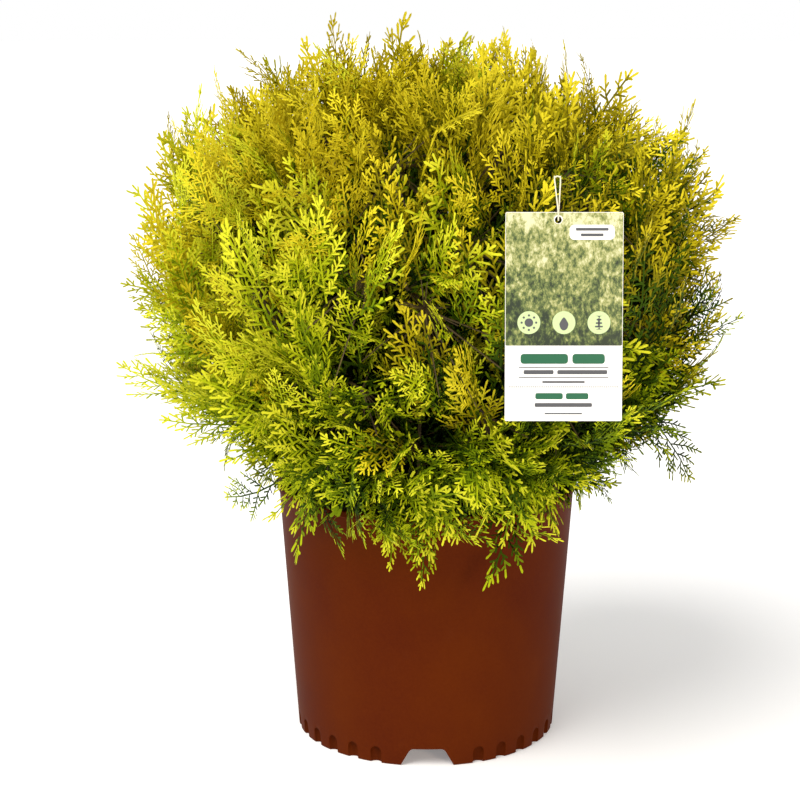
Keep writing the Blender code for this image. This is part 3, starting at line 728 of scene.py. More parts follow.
def make_trunk_and_boughs(masses, bark):
    shares = [share**1.3 for share in steps(70)]
    points = [trunk_point(share) for share in shares]
    for index in (1, 2):
        points[index].x = points[0].x
        points[index].y = points[0].y
    trunk = limb("bark_trunk", points, [trunk_radius(share) for share in shares], 28, bark)
    smooth(trunk, 60)
    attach(trunk, "root")
    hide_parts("trunk")

    limbs = []
    for mass in masses[:-1]:
        route = bough_route(mass.start_height, mass.anchor, 24)
        spread = BOUGH_TIP_RADIUS - BOUGH_RADIUS
        radii = [BOUGH_RADIUS + spread * share for share in steps(len(route))]
        mass.heading = (route[-1] - route[-2]).normalized()
        limbs.append(limb(f"bark_bough_{mass.name}", route, radii, 12, bark))
    masses[-1].heading = (TRUNK_TIP - trunk_point(0.94)).normalized()
    boughs = joined("bark_boughs", limbs)
    smooth(boughs, 60)
    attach(boughs, "root")
    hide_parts(*(f"bough_{mass.name}" for mass in masses[:-1]))


# The crown's rule, as in the solids

def crown_reach(direction):
    flat = math.hypot(direction.x, direction.y) / CROWN_HALF_WIDTH
    above = direction.z > 0
    steep = abs(direction.z) / (CROWN_RISE if above else CROWN_DROP)
    power = CROWN_SQUARENESS_ABOVE if above else CROWN_SQUARENESS_BELOW
    return (flat**power + steep**power) ** (-1 / power)


def even_directions(count):
    """Directions spread evenly over a sphere along a golden spiral."""
    turn = math.pi * (3 - math.sqrt(5))
    for index in range(count):
        height = 1 - (2 * index + 1) / count
        yield polar(turn * index, math.sqrt(1 - height * height), height)


def crown_points(count):
    points = []
    for direction in even_directions(count):
        point = CROWN_CENTRE + direction * crown_reach(direction)
        over_pot = math.hypot(point.x, point.y) < SKIRT_INNER_RADIUS and point.z < SKIRT_TOP
        if not over_pot:
            points.append(point)
    return points


class Mass:
    """One mass of foliage: its name, its middle, its bough's tip and its twigs' ends."""

    def __init__(self, name, middle, anchor):
        self.name = name
        self.middle = middle
        self.anchor = anchor
        self.start_height = 0
        self.heading = UP
        self.twigs = []


def plan_masses(rng):
    masses = []
    height = SOIL_LEVEL + FIRST_BOUGH
    for tier, count, first, radius, middle_height, anchor_radius, anchor_height in TIERS:
        for index in range(count):
            azimuth = first + 360 * index / count + rng.uniform(-1, 1) * AZIMUTH_JITTER
            lift = rng.uniform(-1, 1) * HEIGHT_JITTER
            out = polar(math.radians(azimuth), 1)
            middle = out * radius + UP * (middle_height + lift)
            anchor = out * anchor_radius + UP * (anchor_height + lift)
            name = f"{tier}_{index + 1}" if count > 1 else tier
            masses.append(Mass(name, middle, anchor))
        ring = masses[-count:]
        for order in range(count):
            ring[order * 3 % count].start_height = height
            height += BOUGH_SPACING
    masses[-1].anchor = TRUNK_TIP.copy()
    masses[-1].middle += Vector((TRUNK_TIP.x, TRUNK_TIP.y, 0))
    for target in crown_points(TWIG_POINTS):
        mass = nearest(target, masses, lambda item: item.middle)
        inward = (mass.anchor - target).normalized()
        mass.twigs.append(target + inward * SOURCE_SPRAY_LENGTH)
    return masses


def nearest(point, items, place):
    return min(items, key=lambda item: (place(item) - point).length_squared)


# Fans of scale leaves

# Lengths and widths are shares of a fan's length
FAN_SHAPES = 14
FAN_BREADTHS = (0.34, 0.46)
BRANCH_STEP = 0.076
SHOOT_STEP = 0.037
SHOOT_WIDTH = 0.0200
LONGEST_SHOOT = 0.088
SHOOT_RIDGE = 0.30  # of the shoot's width
# Corners of the four faces of a shoot and of a stalk
SHOOT_FACES = ((5, 1, 2), (5, 2, 4), (5, 4, 3), (5, 3, 0))
STALK_FACES = ((2, 0, 3), (2, 3, 5), (1, 2, 5), (1, 5, 4))
END_SHOOTS = ((-0.6, 0.90), (0.6, 0.915), (0, 0.94))  # heading, and place along the spine


class Fan:
    """A flat branching spray, one unit long, as points, faces and how far out each face is."""

    def __init__(self, rng, fineness):
        self.rng = rng
        self.points = []
        self.faces = []
        self.outness = []
        self.grow(fineness)
        self.points = np.array(self.points)
        self.faces = np.array(self.faces)
        self.outness = np.array(self.outness)

    def add(self, points, faces, outness):
        first = len(self.points)
        self.points += points
        self.faces += [[first + corner for corner in face] for face in faces]
        self.outness += [outness] * len(faces)

    def shoot(self, base, heading, length, width, outness):
        """A blunt shoot: four faces down from a ridge, a little out of the fan's plane."""
        along = polar(heading, 1, self.rng.uniform(-0.15, 0.15))
        half = Vector((-along.y, along.x, self.rng.uniform(-0.4, 0.4))) * width / 2
        shoulder = base + along * (length * 0.80)
        points = [base + half * 0.84, base - half * 0.84, shoulder - half, shoulder + half]
        points += [base + along * length, base + UP * (SHOOT_RIDGE * width)]
        self.add(points, SHOOT_FACES, outness)

    def stalk(self, start, end, start_width, end_width, outness):
        """A stalk between two points, ridged like the shoots."""
        along = (end - start).normalized()
        across = Vector((-along.y, along.x, 0)) / 2
        points = []
        for place, width in ((start, start_width), (end, end_width)):
            half = across * width
            points += [place + half, place - half, place + UP * width * SHOOT_RIDGE]
        self.add(points, STALK_FACES, outness)

    def spine(self, share):
        return Vector((share, self.sway * math.sin(math.pi * share) * 0.5, 0))

    def grow(self, fineness):
        """The curved spine, its side branches and the shoots at its end."""
        rng = self.rng
        self.sway = rng.uniform(-0.10, 0.10)
        breadth = rng.uniform(*FAN_BREADTHS) / max(1, fineness)
        coarse = 1 + 0.6 * (1 / fineness - 1)
        width = SHOOT_WIDTH * coarse
        stops = [self.spine(s) for s in (0, 0.34, 0.68, 0.95)]
        for start, end in zip(stops, stops[1:]):
            near, far = (width * (1.0 - 0.3 * point.x) for point in (start, end))
            self.stalk(start, end, near, far, 0.30 + 0.35 * end.x)
        share = 0.07
        side = rng.choice((-1, 1))
        while share < 0.92:
            swell = math.sin(math.pi * min(1, (share + 0.14) / 1.02) ** 0.80)
            reach = breadth * max(0.20, swell) * rng.uniform(0.62, 1.16)
            angle = side * math.radians(rng.uniform(40, 52) - 10 * share)
            self.branch(self.spine(share), angle, reach, share, width, fineness)
            side = -side
            share += BRANCH_STEP / fineness * rng.uniform(0.80, 1.20)
        for angle, base in END_SHOOTS:
            self.shoot(self.spine(base), angle, 0.065, width, 1.0)

    def branch(self, base, angle, reach, share, width, fineness):
        """A side branch that curves forwards, with shoots on alternate sides."""
        rng = self.rng
        curl = -math.copysign(rng.uniform(0.12, 0.34), angle)
        bend_at = base + polar(angle, 1) * reach * 0.5
        late = angle + curl
        end = bend_at + polar(late, 1) * reach * 0.44
        outer = 0.35 + 0.45 * share
        self.stalk(base, bend_at, width * 0.80, width * 0.74, outer * 0.85)
        self.stalk(bend_at, end, width * 0.74, width * 0.66, outer + 0.12)
        step = SHOOT_STEP / fineness
        place = step * rng.uniform(0.7, 1.1)
        side = math.copysign(1, angle)
        while place < reach * 0.90:
            part = place / reach
            at = base.lerp(bend_at, part * 2) if part < 0.5 else bend_at.lerp(end, part * 2 - 1)
            heading = angle + curl * part + side * math.radians(rng.uniform(32, 46))
            length = min(LONGEST_SHOOT, 0.036 + 0.42 * (reach - place)) * rng.uniform(0.75, 1.15)
            outness = min(1.0, outer * 0.75 + 0.40 * part + 0.15 * rng.random())
            self.shoot(at, heading, length, width * rng.uniform(0.82, 1.0), outness)
            side = -side
            place += step * rng.uniform(0.75, 1.2)
        self.shoot(end, late, 0.075, width, min(1.0, outer + 0.35))


# Tints of the foliage: name, least and most level, from painted shade to painted light, whether it is for
# warm or cool foliage (None: both), and plain base colour
TINTS = (
    # The two darkest tints are painted shade: near black and dark green for sprays inside and under the
    # crown.
    ("painted_shade_deep_green", -9, 0.12, None, (0.005, 0.014, 0.0015)),
    ("painted_shade_inner_green", 0.12, 0.35, None, (0.036, 0.072, 0.0025)),
    ("lime_green", 0.35, 0.57, False, (0.158, 0.224, 0.004)),
    ("olive_green", 0.35, 0.57, True, (0.195, 0.172, 0.004)),
    ("lime_yellow", 0.57, 0.80, False, (0.380, 0.438, 0.007)),
    ("old_gold", 0.57, 0.80, True, (0.430, 0.365, 0.006)),
    ("lemon_yellow", 0.80, 9, False, (0.635, 0.640, 0.026)),
    ("bright_gold", 0.80, 9, True, (0.680, 0.580, 0.020)),
)
# Layers of sprays: points on the crown, least and most reach, length, fineness, highest point
LAYERS = (
    (170, 0.97, 1.03, (0.108, 0.142), 1.15, 1.0),
    (1380, 0.89, 1.01, (0.064, 0.100), 1.0, 1.0),
    (900, 0.74, 0.90, (0.070, 0.104), 0.62, 1.0),
    (900, 0.36, 0.78, (0.085, 0.125), 0.42, 1.0),
    (1500, 0.45, 0.86, (0.085, 0.125), 0.42, 0.31),
)
# Openings in the crown, at the front and round it: azimuth, height and half width of each
HOLLOWS = (
    (-98, 0.482, 0.042),
    (-100, 0.445, 0.036),
    (-80, 0.412, 0.044),
    (-78, 0.375, 0.036),
    (-105, 0.415, 0.030),
    (-90, 0.335, 0.028),
    (-40, 0.450, 0.036),
    (10, 0.360, 0.038),
    (62, 0.470, 0.042),
    (108, 0.400, 0.036),
    (150, 0.480, 0.036),
    (205, 0.400, 0.034),
)
HOLLOW_DEPTH = 0.30
SCATTER = 0.006
PROUD_LENGTHS = (0.08, 0.10)
SPRAY_HUB = Vector((0, 0, 0.30))  # the sprays spread from about here
UPRIGHTS = (0.0, 0.15, 0.80)  # how far a spray turns up, one drawn for each
DROOPS = (0.02, 0.22)
CUPS = (0.1, 0.7)
WAVE = 0.025
TINT_SPREAD = 0.09
WARMTH_SPREAD = 0.22
OUTNESS_GAIN = 1.2  # how much brighter a fan's tips are than its foot: partly the tips' own golden colour, partly painted shade towards the foot
OUTNESS_MIDDLE = 0.62
PIECE_LIMIT = 185000  # faces

# Room that the sprays leave, and the furthest that one is moved to leave it
TAG_MARGIN = 0.002
BEHIND_TAG = 0.004
BESIDE_LOOP = 0.010
ABOVE_LOOP = 0.004
BEHIND_LOOP = 0.002
FURTHEST_BACK = 0.045
POT_MARGIN = 0.003
FURTHEST_OUT = 0.03

# Radii of the stems and twigs under the sprays
STEM_RADIUS = 0.0024
STEM_TAPER = 0.0001  # over each length of a stem
TWIG_RADII = (0.0017, 0.0014, 0.0011)  # at the fork, the knee and the end
FINE_TWIG_RADII = (0.0010, 0.0006)
SHORTEST_TWIG = 0.004


def blend(low, high, value):
    """0 below low, 1 above high and smooth between."""
    share = min(1, max(0, (value - low) / (high - low)))
    return share * share * (3 - 2 * share)


def frame_towards(root, heading, face, roll):
    """A matrix with X along the heading and Z as near the face direction as it can be."""
    along = heading.normalized()
    across = face.cross(along)
    if across.length < 0.05:
        across = Vector((0, 1, 0)).cross(along)
    across.normalize()
    axes = Matrix((along, across, along.cross(across))).transposed().to_4x4()
    return Matrix.Translation(root) @ axes @ Matrix.Rotation(roll, 4, "X")


def around(azimuth, height, radius):
    return polar(math.radians(azimuth), radius, height)


def hollow(point):
    """How far into one of the openings a place on the crown is, from 0 to 1."""
    radius = math.hypot(point.x, point.y)
    deepest = 0
    for azimuth, height, width in HOLLOWS:
        distance = (around(azimuth, height, radius) - point).length
        deepest = max(deepest, blend(width * 1.3, width * 0.6, distance))
    return deepest


def trim(point):
    """The crown's shoulders and underside, drawn in from the plain rule."""
    shoulder = blend(0.57, 0.64, point.z) * blend(0.10, 0.20, math.hypot(point.x, point.y))
    right = blend(0.05, 0.20, point.x)
    left = blend(-0.08, -0.20, point.x)
    on_right = right * (0.035 + 0.03 * shoulder + 0.12 * blend(0.33, 0.20, point.z))
    on_left = left * (0.025 - 0.06 * shoulder + 0.11 * blend(0.40, 0.24, point.z))
    return 1 - 0.07 * shoulder - on_right - on_left


class Foliage:
    """All sprays and twigs, gathered by tint."""

    def __init__(self, masses, rng):
        self.masses = masses
        self.rng = rng
        self.shapes = {
            fineness: [Fan(random.Random(SEED + n), fineness) for n in range(FAN_SHAPES)]
            for fineness in {layer[4] for layer in LAYERS}
        }
        self.points = {tint[0]: [] for tint in TINTS}
        self.faces = {name: [] for name in self.points}
        self.counts = dict.fromkeys(self.points, 0)
        self.twigs = []

    def painted_light_and_warmth(self, point, share):
        """Painted light and shade as brightness: least inside the crown, below and at the right, where
        shade falls, most at the left, where the light falls, with random tone besides; and warmth, most at
        the top and, as painted warm light, at the right.
        """
        depth = blend(0.66, 1.0, share)
        low = blend(0.42, 0.24, point.z)
        level = -0.02 + 0.66 * depth - 0.21 * low
        left = blend(0.05, -0.22, point.x)
        right = blend(0.05, 0.22, point.x)
        level += left * (0.16 + 0.10 * blend(0.46, 0.56, point.z) - 0.20 * low)
        level -= right * (0.14 + 0.17 * blend(0.60, 0.50, point.z))
        level += 0.26 * noise.noise(point * 17)
        warmth = 0.30 + 2.6 * (point.z - 0.42) + 0.7 * point.x + 0.45 * noise.noise(point * 11)
        return level, warmth

    def add_spray(self, tip, length, share, fineness):
        """Adds one fan that ends at the tip, bent, turned and tinted for its place."""
        rng = self.rng
        out = (tip - CROWN_CENTRE).normalized()
        heading = (tip - SPRAY_HUB).normalized()
        aside = Vector([rng.gauss(0, 1) for _ in range(3)])
        aside = (aside - out * aside.dot(out)).normalized()
        slope = UP - out * UP.dot(out)
        upright = rng.choice(UPRIGHTS) * blend(0.28, 0.44, tip.z)
        hang = blend(0.34, 0.23, tip.z)
        heading += slope * (upright - 0.35 * hang) + aside * rng.uniform(0.05, 0.60)
        heading.normalize()
        root = tip - heading * length
        roll = rng.gauss(0, 0.40) + rng.choice((0, 0, 0, 1, -1, rng.uniform(-1, 1))) * math.pi / 2
        place = frame_towards(root, heading, out + UP * 0.30, roll)
        fan = rng.choice(self.shapes[fineness])
        points = fan.points.copy()
        droop = rng.uniform(*DROOPS) + 0.22 * hang
        cup = rng.uniform(*CUPS)
        wave = rng.uniform(0.0, WAVE)
        phase = rng.uniform(0, math.tau)
        points[:, 2] += -droop * points[:, 0] ** 2 - cup * points[:, 1] ** 2
        points[:, 2] += wave * np.sin(points[:, 0] * 9 + phase)
        if rng.random() < 0.5:
            points[:, 1] *= -1
        points = points * length @ np.array(place.to_3x3()).T + np.array(place.translation)
        shift = self.clearance(points)
        if shift is not None:
            self.deal(fan, points + shift, tip, share)
            self.join_twig(Vector(shift) + root, tip)

    def clearance(self, points):
        """The move that keeps a spray behind the tag and outside the pot, or None."""
        x, y, z = points.T
        shift = np.zeros(3)
        on_tag = np.abs(x - TAG_TOP.x) < TAG_WIDTH / 2 + TAG_MARGIN
        on_tag &= (z > TAG_TOP.z - TAG_HEIGHT - TAG_MARGIN) & (z < TAG_TOP.z + TAG_MARGIN)
        if on_tag.any():
            card = TAG_TOP.y + BEHIND_TAG - (TAG_TOP.z - z[on_tag]) * math.tan(TAG_LEAN)
            shift[1] = max(0.0, (card - y[on_tag]).max())
        by_loop = np.abs(x - TAG_TOP.x - HOLE_OFFSET) < BESIDE_LOOP
        by_loop &= (z > TAG_TOP.z) & (z < LOOP_TOP + ABOVE_LOOP)
        if by_loop.any():
            shift[1] = max(shift[1], (LOOP_PLANE + BEHIND_LOOP - y[by_loop]).max())
        if shift[1] > FURTHEST_BACK:
            return None
        low = z < POT_HEIGHT + POT_MARGIN
        if low.any():
            short = RIM_RADIUS + LIP_OUT + POT_MARGIN - np.hypot(x[low], y[low]).min()
            if short > FURTHEST_OUT:
                return None
            if short > 0:
                middle = points.mean(axis=0)[:2]
                shift[:2] += middle / max(1e-6, np.hypot(*middle)) * short
        return shift

    def deal(self, fan, points, tip, share):
        """Gives each shoot of a spray the tint for its place, by a level that holds painted light and
        shade.
        """
        level, warmth = self.painted_light_and_warmth(tip, share)
        level += self.rng.gauss(0, TINT_SPREAD)
        warmth += self.rng.gauss(0, WARMTH_SPREAD)
        # Tips brighter than the foot: partly the tips' own golden colour, partly painted shade towards the
        # foot.
        levels = level + OUTNESS_GAIN * (fan.outness - OUTNESS_MIDDLE)
        for name, low, high, warm, _ in TINTS:
            chosen = (levels >= low) & (levels < high)
            if warm not in (None, warmth > 0.5) or not chosen.any():
                continue
            used, places = np.unique(fan.faces[chosen], return_inverse=True)
            self.points[name].append(points[used])
            self.faces[name].append(places.reshape(-1, 3) + self.counts[name])
            self.counts[name] += len(used)

    def join_twig(self, root, tip):
        """A thin twig from the mass's own twig to the root of a spray."""
        mass = nearest(tip, self.masses, lambda item: item.middle)
        if not mass.twigs:
            return
        end = nearest(root, mass.twigs, lambda item: item)
        if (root - end).length > SHORTEST_TWIG:
            self.twigs.append((end, root, *FINE_TWIG_RADII))


def mesh_piece(name, points, faces, material):
    """A triangle mesh made straight from arrays of points and faces."""
    mesh = bpy.data.meshes.new(name)
    mesh.vertices.add(len(points))
    mesh.vertices.foreach_set("co", np.asarray(points, dtype=np.float32).ravel())
    mesh.loops.add(faces.size)
    mesh.loops.foreach_set("vertex_index", faces.astype(np.int32).ravel())
    mesh.polygons.add(len(faces))
    mesh.polygons.foreach_set("loop_start", np.arange(0, faces.size, 3, dtype=np.int32))
    mesh.update(calc_edges=True)
    mesh.materials.append(material)
    return linked(name, mesh)


def rods(spans, sides):
    """Tapering rods between pairs of points, all in one pair of arrays."""
    points = []
    faces = []
    for start, end, start_radius, end_radius in spans:
        first = len(points)
        along = (end - start).normalized()
        across = along.orthogonal().normalized()
        third = along.cross(across)
        for place, radius in ((start, start_radius), (end, end_radius)):
            for side in range(sides):
                turn = math.tau * side / sides
                spoke = across * math.cos(turn) + third * math.sin(turn)
                points.append(place + spoke * radius)
        for side in range(sides):
            after = (side + 1) % sides
            faces.append((first + side, first + after, first + sides + after))
            faces.append((first + side, first + sides + after, first + sides + side))
        for side in range(1, sides - 1):
            faces.append((first, first + side + 1, first + side))
            faces.append((first + sides, first + sides + side, first + sides + side + 1))
    return np.array([tuple(point) for point in points]), np.array(faces)


def stem_spans(masses, rng):
    """The stem of each mass and the twigs that fork from it, as in the solids."""
    spans = []
    fork_radius, knee_radius, end_radius = TWIG_RADII
    for mass in masses:
        start = mass.anchor - mass.heading * 0.002
        straight = mass.anchor + mass.heading * 0.010
        bend_at = mass.anchor.lerp(mass.middle, 0.55)
        route = [bend(start, straight, bend_at, share) for share in steps(6)] + [mass.middle]
        for index, (near, far) in enumerate(zip(route, route[1:])):
            radius = STEM_RADIUS - STEM_TAPER * index
            spans.append((near, far, radius, radius - STEM_TAPER))
        for end in mass.twigs:
            fork = mass.anchor.lerp(mass.middle, 0.45 + 0.4 * rng.random())
            knee = fork.lerp(end, 0.5) + UP * 0.004
            spans.append((fork, knee, fork_radius, knee_radius))
            spans.append((knee, end, knee_radius, end_radius))
    return spans


def make_foliage(masses):
    rng = random.Random(SEED + 1)
    foliage = Foliage(masses, rng)
    for place in PROUD_TIPS:
        foliage.add_spray(around(*place), rng.uniform(*PROUD_LENGTHS), 1.0, 1.0)
    for count, least, most, lengths, fineness, highest in LAYERS:
        for point in crown_points(count):
            if point.z > highest:
                continue
            direction = (point - CROWN_CENTRE).normalized()
            uneven = 0.050 * noise.noise(direction * 3.4) + 0.035 * noise.noise(direction * 8)
            # The share also sets painted shade: the deeper a spray sits in the crown, the darker its tint.
            share = rng.uniform(least, most) + uneven
            reach = (share - HOLLOW_DEPTH * hollow(point)) * trim(point)
            tip = CROWN_CENTRE + (point - CROWN_CENTRE) * reach
            tip += Vector([rng.gauss(0, SCATTER) for _ in range(3)])
            foliage.add_spray(tip, rng.uniform(*lengths), share, fineness)
    names = [f"foliage_{mass.name}" for mass in masses]
    for name, *_, colour in TINTS:
        points = np.concatenate(foliage.points[name])
        faces = np.concatenate(foliage.faces[name])
        material = spray_finish(f"{name}_sprays", colour)
        pieces = math.ceil(len(faces) / PIECE_LIMIT)
        for number, part in enumerate(np.array_split(faces, pieces)):
            used, places = np.unique(part, return_inverse=True)
            places = places.reshape(-1, 3)
            title = f"sprays_{name}_{number + 1}"
            piece = mesh_piece(title, points[used] + np.array(AXIS), places, material)
            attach(piece, "root")
            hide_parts(*names)
    spans = stem_spans(masses, rng) + foliage.twigs
    points, faces = rods(spans, 4)
    twigs = mesh_piece("fine_twigs", points + np.array(AXIS), faces, twig_finish())
    smooth(twigs, 70)
    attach(twigs, "root")
    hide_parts(*names)


# Hang tag

def rounded_outline(width, height, corner, turns=8):
    """A rounded rectangle that hangs down from the middle of its top edge."""
    points = []
    for turn, (side, top) in enumerate(((1, 0), (-1, 0), (-1, -1), (1, -1))):
        centre_x = side * (width / 2 - corner)
        centre_y = top * height - corner * (1 if top == 0 else -1)
        for step in range(turns + 1):
            angle = math.pi / 2 * (turn + step / turns)
            points.append((centre_x + corner * math.cos(angle), centre_y + corner * math.sin(angle)))
    return points


def round_outline(centre, radius, count=32):
    turns = [math.tau * step / count for step in range(count)]
    return [(centre[0] + radius * math.cos(t), centre[1] + radius * math.sin(t)) for t in turns]


def flat_piece(name, outlines, thickness, height, material):
    """A flat piece cut to its outlines, the first the edge and the rest holes."""
    curve = new_curve(name, "2D", fill_mode="BOTH", extrude=thickness / 2)
    for outline in outlines:
        add_line(curve, [(across, along, 0) for across, along in outline])
    piece = meshed(name, curve, material)
    piece.data.transform(Matrix.Translation(AXIS) @ TAG_FRAME @ Matrix.Translation((0, 0, height)))
    outward(piece)
    return piece


def shifted(outline, across, along):
    return [(x + across, y + along) for x, y in outline]


def bars(rows):
    """Small rounded bars: width, height, and the place of the top edge's middle on the card."""
    outlines = []
    for width, height, across, along in rows:
        outlines.append(shifted(rounded_outline(width, height, height * 0.3, 3), across, along))
    return outlines


# Printing on the card; each bar is its width and height, and where its top edge's middle is
INK_RISE = 0.00010
PANEL_INSET = 0.0004
PICTURE_HEIGHT = 0.106
CARD_FRONT = TAG_THICKNESS / 2
SIGN_PLACES = (-0.028, 0.0, 0.028)
SIGN_LEVEL = -0.088
DISC_RADIUS = 0.0092
SUN_RADIUS = 0.0034
RAY_RADIUS = 0.0009
RAY_REACH = 0.0058
LABEL = ((0.036, 0.012, 0.022, -0.010),)
LABEL_LINES = ((0.026, 0.0022, 0.022, -0.0125), (0.018, 0.0022, 0.022, -0.0170))
GREEN_LINES = (
    (0.038, 0.0080, -0.0155, -0.1130),
    (0.026, 0.0080, 0.0200, -0.1130),
    (0.022, 0.0050, -0.0115, -0.1445),
    (0.018, 0.0050, 0.0110, -0.1445),
)
GREY_LINES = (
    (0.072, 0.0007, 0, -0.1235),
    (0.024, 0.0034, -0.0200, -0.1260),
    (0.040, 0.0034, 0.0150, -0.1260),
    (0.072, 0.0007, 0, -0.1316),
    (0.034, 0.0016, 0, -0.1348),
    (0.046, 0.0032, 0, -0.1525),
    (0.030, 0.0011, 0, -0.1605),
)
DOTTED_LINE = [(0.0011, 0.0007, -0.0435 + 0.0015 * n, -0.1392) for n in range(59)]


def printed(name, outlines, layer, material):
    """Ink laid on the card in layers, so that no two printed shapes share a plane."""
    height = CARD_FRONT + INK_RISE * (layer + 0.5)
    return [
        flat_piece(f"{name}_{n}", [outline], INK_RISE, height, material)
        for n, outline in enumerate(outlines)
    ]


def sign_outlines():
    """A plain sun, drop and leaf, one for each disc."""
    sun_across, _, leaf_across = SIGN_PLACES
    sun = [round_outline((sun_across, SIGN_LEVEL), SUN_RADIUS)]
    for ray in range(8):
        turn = math.tau * ray / 8
        middle = (sun_across + RAY_REACH * math.cos(turn), SIGN_LEVEL + RAY_REACH * math.sin(turn))
        sun.append(round_outline(middle, RAY_RADIUS, 10))
    drop = [
        (0.0036 * math.cos(t) * (1 - 0.5 * max(0, math.sin(t))), -0.089 + 0.0052 * math.sin(t))
        for t in (math.tau * step / 28 for step in range(28))
    ]
    leaf = [(0.0016, 0.011, leaf_across, -0.0825)]
    leaf += [(0.0062 - 0.0012 * n, 0.0013, leaf_across, -0.0905 + 0.0028 * n) for n in range(3)]
    return sun + [drop] + bars(leaf)


def make_tag():
    hole = round_outline((HOLE_OFFSET, -HOLE_INSET), HOLE_RADIUS)
    edge = rounded_outline(TAG_WIDTH, TAG_HEIGHT, TAG_CORNER)
    card = flat_piece("hang_tag_card", [edge, hole], TAG_THICKNESS, 0, card_finish())
    apply_bevel(card, TAG_BEVEL, 1, 60)
    smooth(card, 30)
    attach(card, "root")
    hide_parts("tag")

    picture = rounded_outline(TAG_WIDTH - 2 * PANEL_INSET, PICTURE_HEIGHT, 0.0010)
    clear_hole = round_outline((HOLE_OFFSET, -HOLE_INSET + PANEL_INSET), HOLE_RADIUS + 0.0008)
    height = CARD_FRONT + INK_RISE / 2
    outlines = [shifted(picture, 0, -PANEL_INSET), clear_hole]
    panel = flat_piece("tag_leafy_panel", outlines, INK_RISE, height, leafy_print_finish())
    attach(panel, "root")

    pale = ink_finish("pale_green_ink", (0.52, 0.66, 0.33))
    white = ink_finish("white_ink", (0.86, 0.87, 0.84))
    grey = ink_finish("grey_ink", (0.070, 0.075, 0.085))
    green = ink_finish("leaf_green_ink", (0.003, 0.105, 0.045))
    discs = [round_outline((across, SIGN_LEVEL), DISC_RADIUS) for across in SIGN_PLACES]
    for name, outlines, layer, material in (
        ("tag_pale_discs", discs, 1, pale),
        ("tag_white_label", bars(LABEL), 1, white),
        ("tag_grey_signs", sign_outlines(), 2, grey),
        ("tag_label_lines", bars(LABEL_LINES), 2, grey),
        ("tag_green_lines", bars(GREEN_LINES), 0, green),
        ("tag_grey_lines", bars(GREY_LINES), 0, grey),
        ("tag_dotted_line", bars(DOTTED_LINE), 0, grey),
    ):
        piece = joined(name, printed(name, outlines, layer, material))
        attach(piece, "root")


def hole_point(right=0, up=0, out=0):
    return TAG_FRAME @ Vector((HOLE_OFFSET + right, up - HOLE_INSET, out))


def loop_points():
    """A closed route over the twig, down both sides of the card and through its hole."""
    swing = LOOP_TWIG_RADIUS + GAP + LOOP_RADIUS * 1.3
    top = Vector((hole_point().x, LOOP_PLANE, LOOP_TOP))
    over = [
        top + Vector((swing * math.cos(turn), 0, swing * math.sin(turn) - swing))
        for turn in (math.pi * step / 4 for step in range(5))
    ]
    off_card = TAG_THICKNESS / 2 + LOOP_RADIUS + GAP * 2
    above_card = HOLE_INSET * 1.6
    front = [
        hole_point(-LOOP_RADIUS, above_card, off_card),
        hole_point(0, HOLE_RADIUS, off_card),
        hole_point(0, 0, off_card / 2),
    ]
    back = [
        hole_point(0, 0, -off_card / 2),
        hole_point(0, HOLE_RADIUS, -off_card),
        hole_point(LOOP_RADIUS, above_card, -off_card),
    ]
    return [*over, *front, *back]


def smooth_closed(points, per_span):
    """A closed smooth curve through the points."""
    count = len(points)
    route = []
    for index in range(count):
        before, start, end, after = (points[(index + step) % count] for step in (-1, 0, 1, 2))
        for step in range(per_span):
            t = step / per_span
            first = 2 * start + (end - before) * t
            second = (2 * before - 5 * start + 4 * end - after) * t**2
            third = (3 * start - before - 3 * end + after) * t**3
            route.append((first + second + third) * 0.5)
    return route


def make_loop():
    curve = new_curve("elastic_loop", "3D", bevel_depth=LOOP_RADIUS, bevel_resolution=3)
    add_line(curve, [place + AXIS for place in smooth_closed(loop_points(), 10)])
    piece = meshed("elastic_loop", curve, elastic_finish())
    outward(piece)
    smooth(piece, 60)
    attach(piece, "root")
    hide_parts("tag_string")


# Studio

AMBIENT = 0.58
FLOOR_RADIUS = 14
FLOOR_LEVEL = -0.0002
SUN_HEADING = Vector((0.95, 1.0, -1.75))
SUN_ANGLE = math.radians(42)
SUN_STRENGTH = 3.0
SUN_COLOUR = (1.0, 0.975, 0.93)
FILL_PLACE = Vector((1.0, -1.9, 0.6))
FILL_AIM = Vector((0, 0, 0.2))
FILL_SIZE = 0.5
FILL_POWER = 14
FILL_COLOUR = (1.0, 0.80, 0.60)


def make_camera():
    data = bpy.data.cameras.new("camera")
    data.lens = CAMERA_LENS
    data.sensor_width = 36
    camera = linked("camera", data)
    camera.location = CAMERA_PLACE
    camera.rotation_euler = (math.pi / 2 - CAMERA_PITCH, 0, 0)
    bpy.context.scene.camera = camera


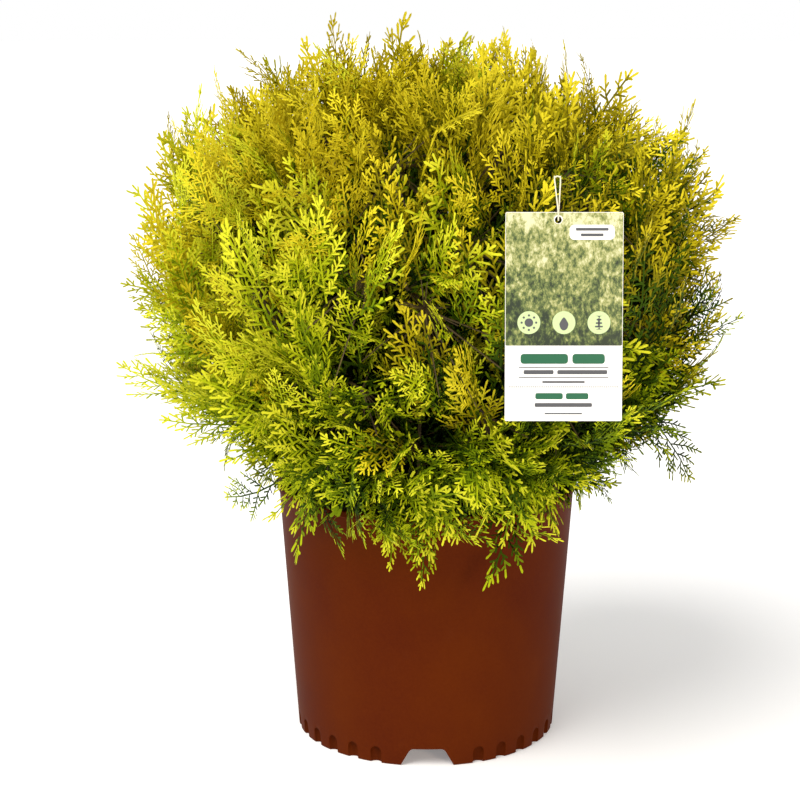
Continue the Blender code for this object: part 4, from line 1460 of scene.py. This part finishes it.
def floor_finish():
    finish = Finish("pale_studio_floor", 0.7, Emission_Color=(1, 1, 1, 1), Emission_Strength=0.22)
    cloud = finish.noise(1.5, 2.0)
    finish.colour(finish.ramp(cloud, [(0.3, (0.86, 0.86, 0.87)), (0.7, (0.89, 0.89, 0.89))]))
    return finish.material


def make_floor():
    deselect()
    middle = (0, 0, FLOOR_LEVEL)
    bpy.ops.mesh.primitive_circle_add(vertices=64, radius=FLOOR_RADIUS, fill_type="NGON", location=middle)
    floor = named("studio_floor", floor_finish())
    settle(floor)


def aimed_light(name, kind, place, heading, **settings):
    """A light at a place that shines along the heading."""
    data = bpy.data.lights.new(name, kind)
    for setting, value in settings.items():
        setattr(data, setting, value)
    lamp = linked(name, data)
    lamp.location = place
    lamp.rotation_euler = heading.to_track_quat("-Z", "Y").to_euler()


def make_lights():
    """Even white surroundings, a soft sun from the upper left and a warm fill from the right."""
    bpy.context.scene.view_settings.view_transform = "Standard"
    world = bpy.data.worlds.new("studio")
    bpy.context.scene.world = world
    world.use_nodes = True
    nodes = world.node_tree.nodes
    sight = nodes.new("ShaderNodeLightPath")
    strength = nodes.new("ShaderNodeMapRange")
    strength.inputs["To Min"].default_value = AMBIENT
    strength.inputs["To Max"].default_value = 1.0
    backdrop = nodes["Background"]
    backdrop.inputs["Color"].default_value = (1, 1, 1, 1)
    world.node_tree.links.new(sight.outputs["Is Camera Ray"], strength.inputs["Value"])
    world.node_tree.links.new(strength.outputs["Result"], backdrop.inputs["Strength"])
    sun = {"energy": SUN_STRENGTH, "angle": SUN_ANGLE, "color": SUN_COLOUR}
    aimed_light("key_sun", "SUN", (0, 0, 0), SUN_HEADING, **sun)
    fill = {"shape": "DISK", "size": FILL_SIZE, "energy": FILL_POWER, "color": FILL_COLOUR}
    aimed_light("warm_fill", "AREA", FILL_PLACE, FILL_AIM - FILL_PLACE, **fill)


def main():
    make_camera()
    make_floor()
    make_lights()
    rng = random.Random(SEED)
    masses = plan_masses(rng)
    make_pot()
    make_soil(random.Random(SEED + 2))
    make_trunk_and_boughs(masses, bark_finish())
    make_foliage(masses)
    make_tag()
    make_loop()


main()
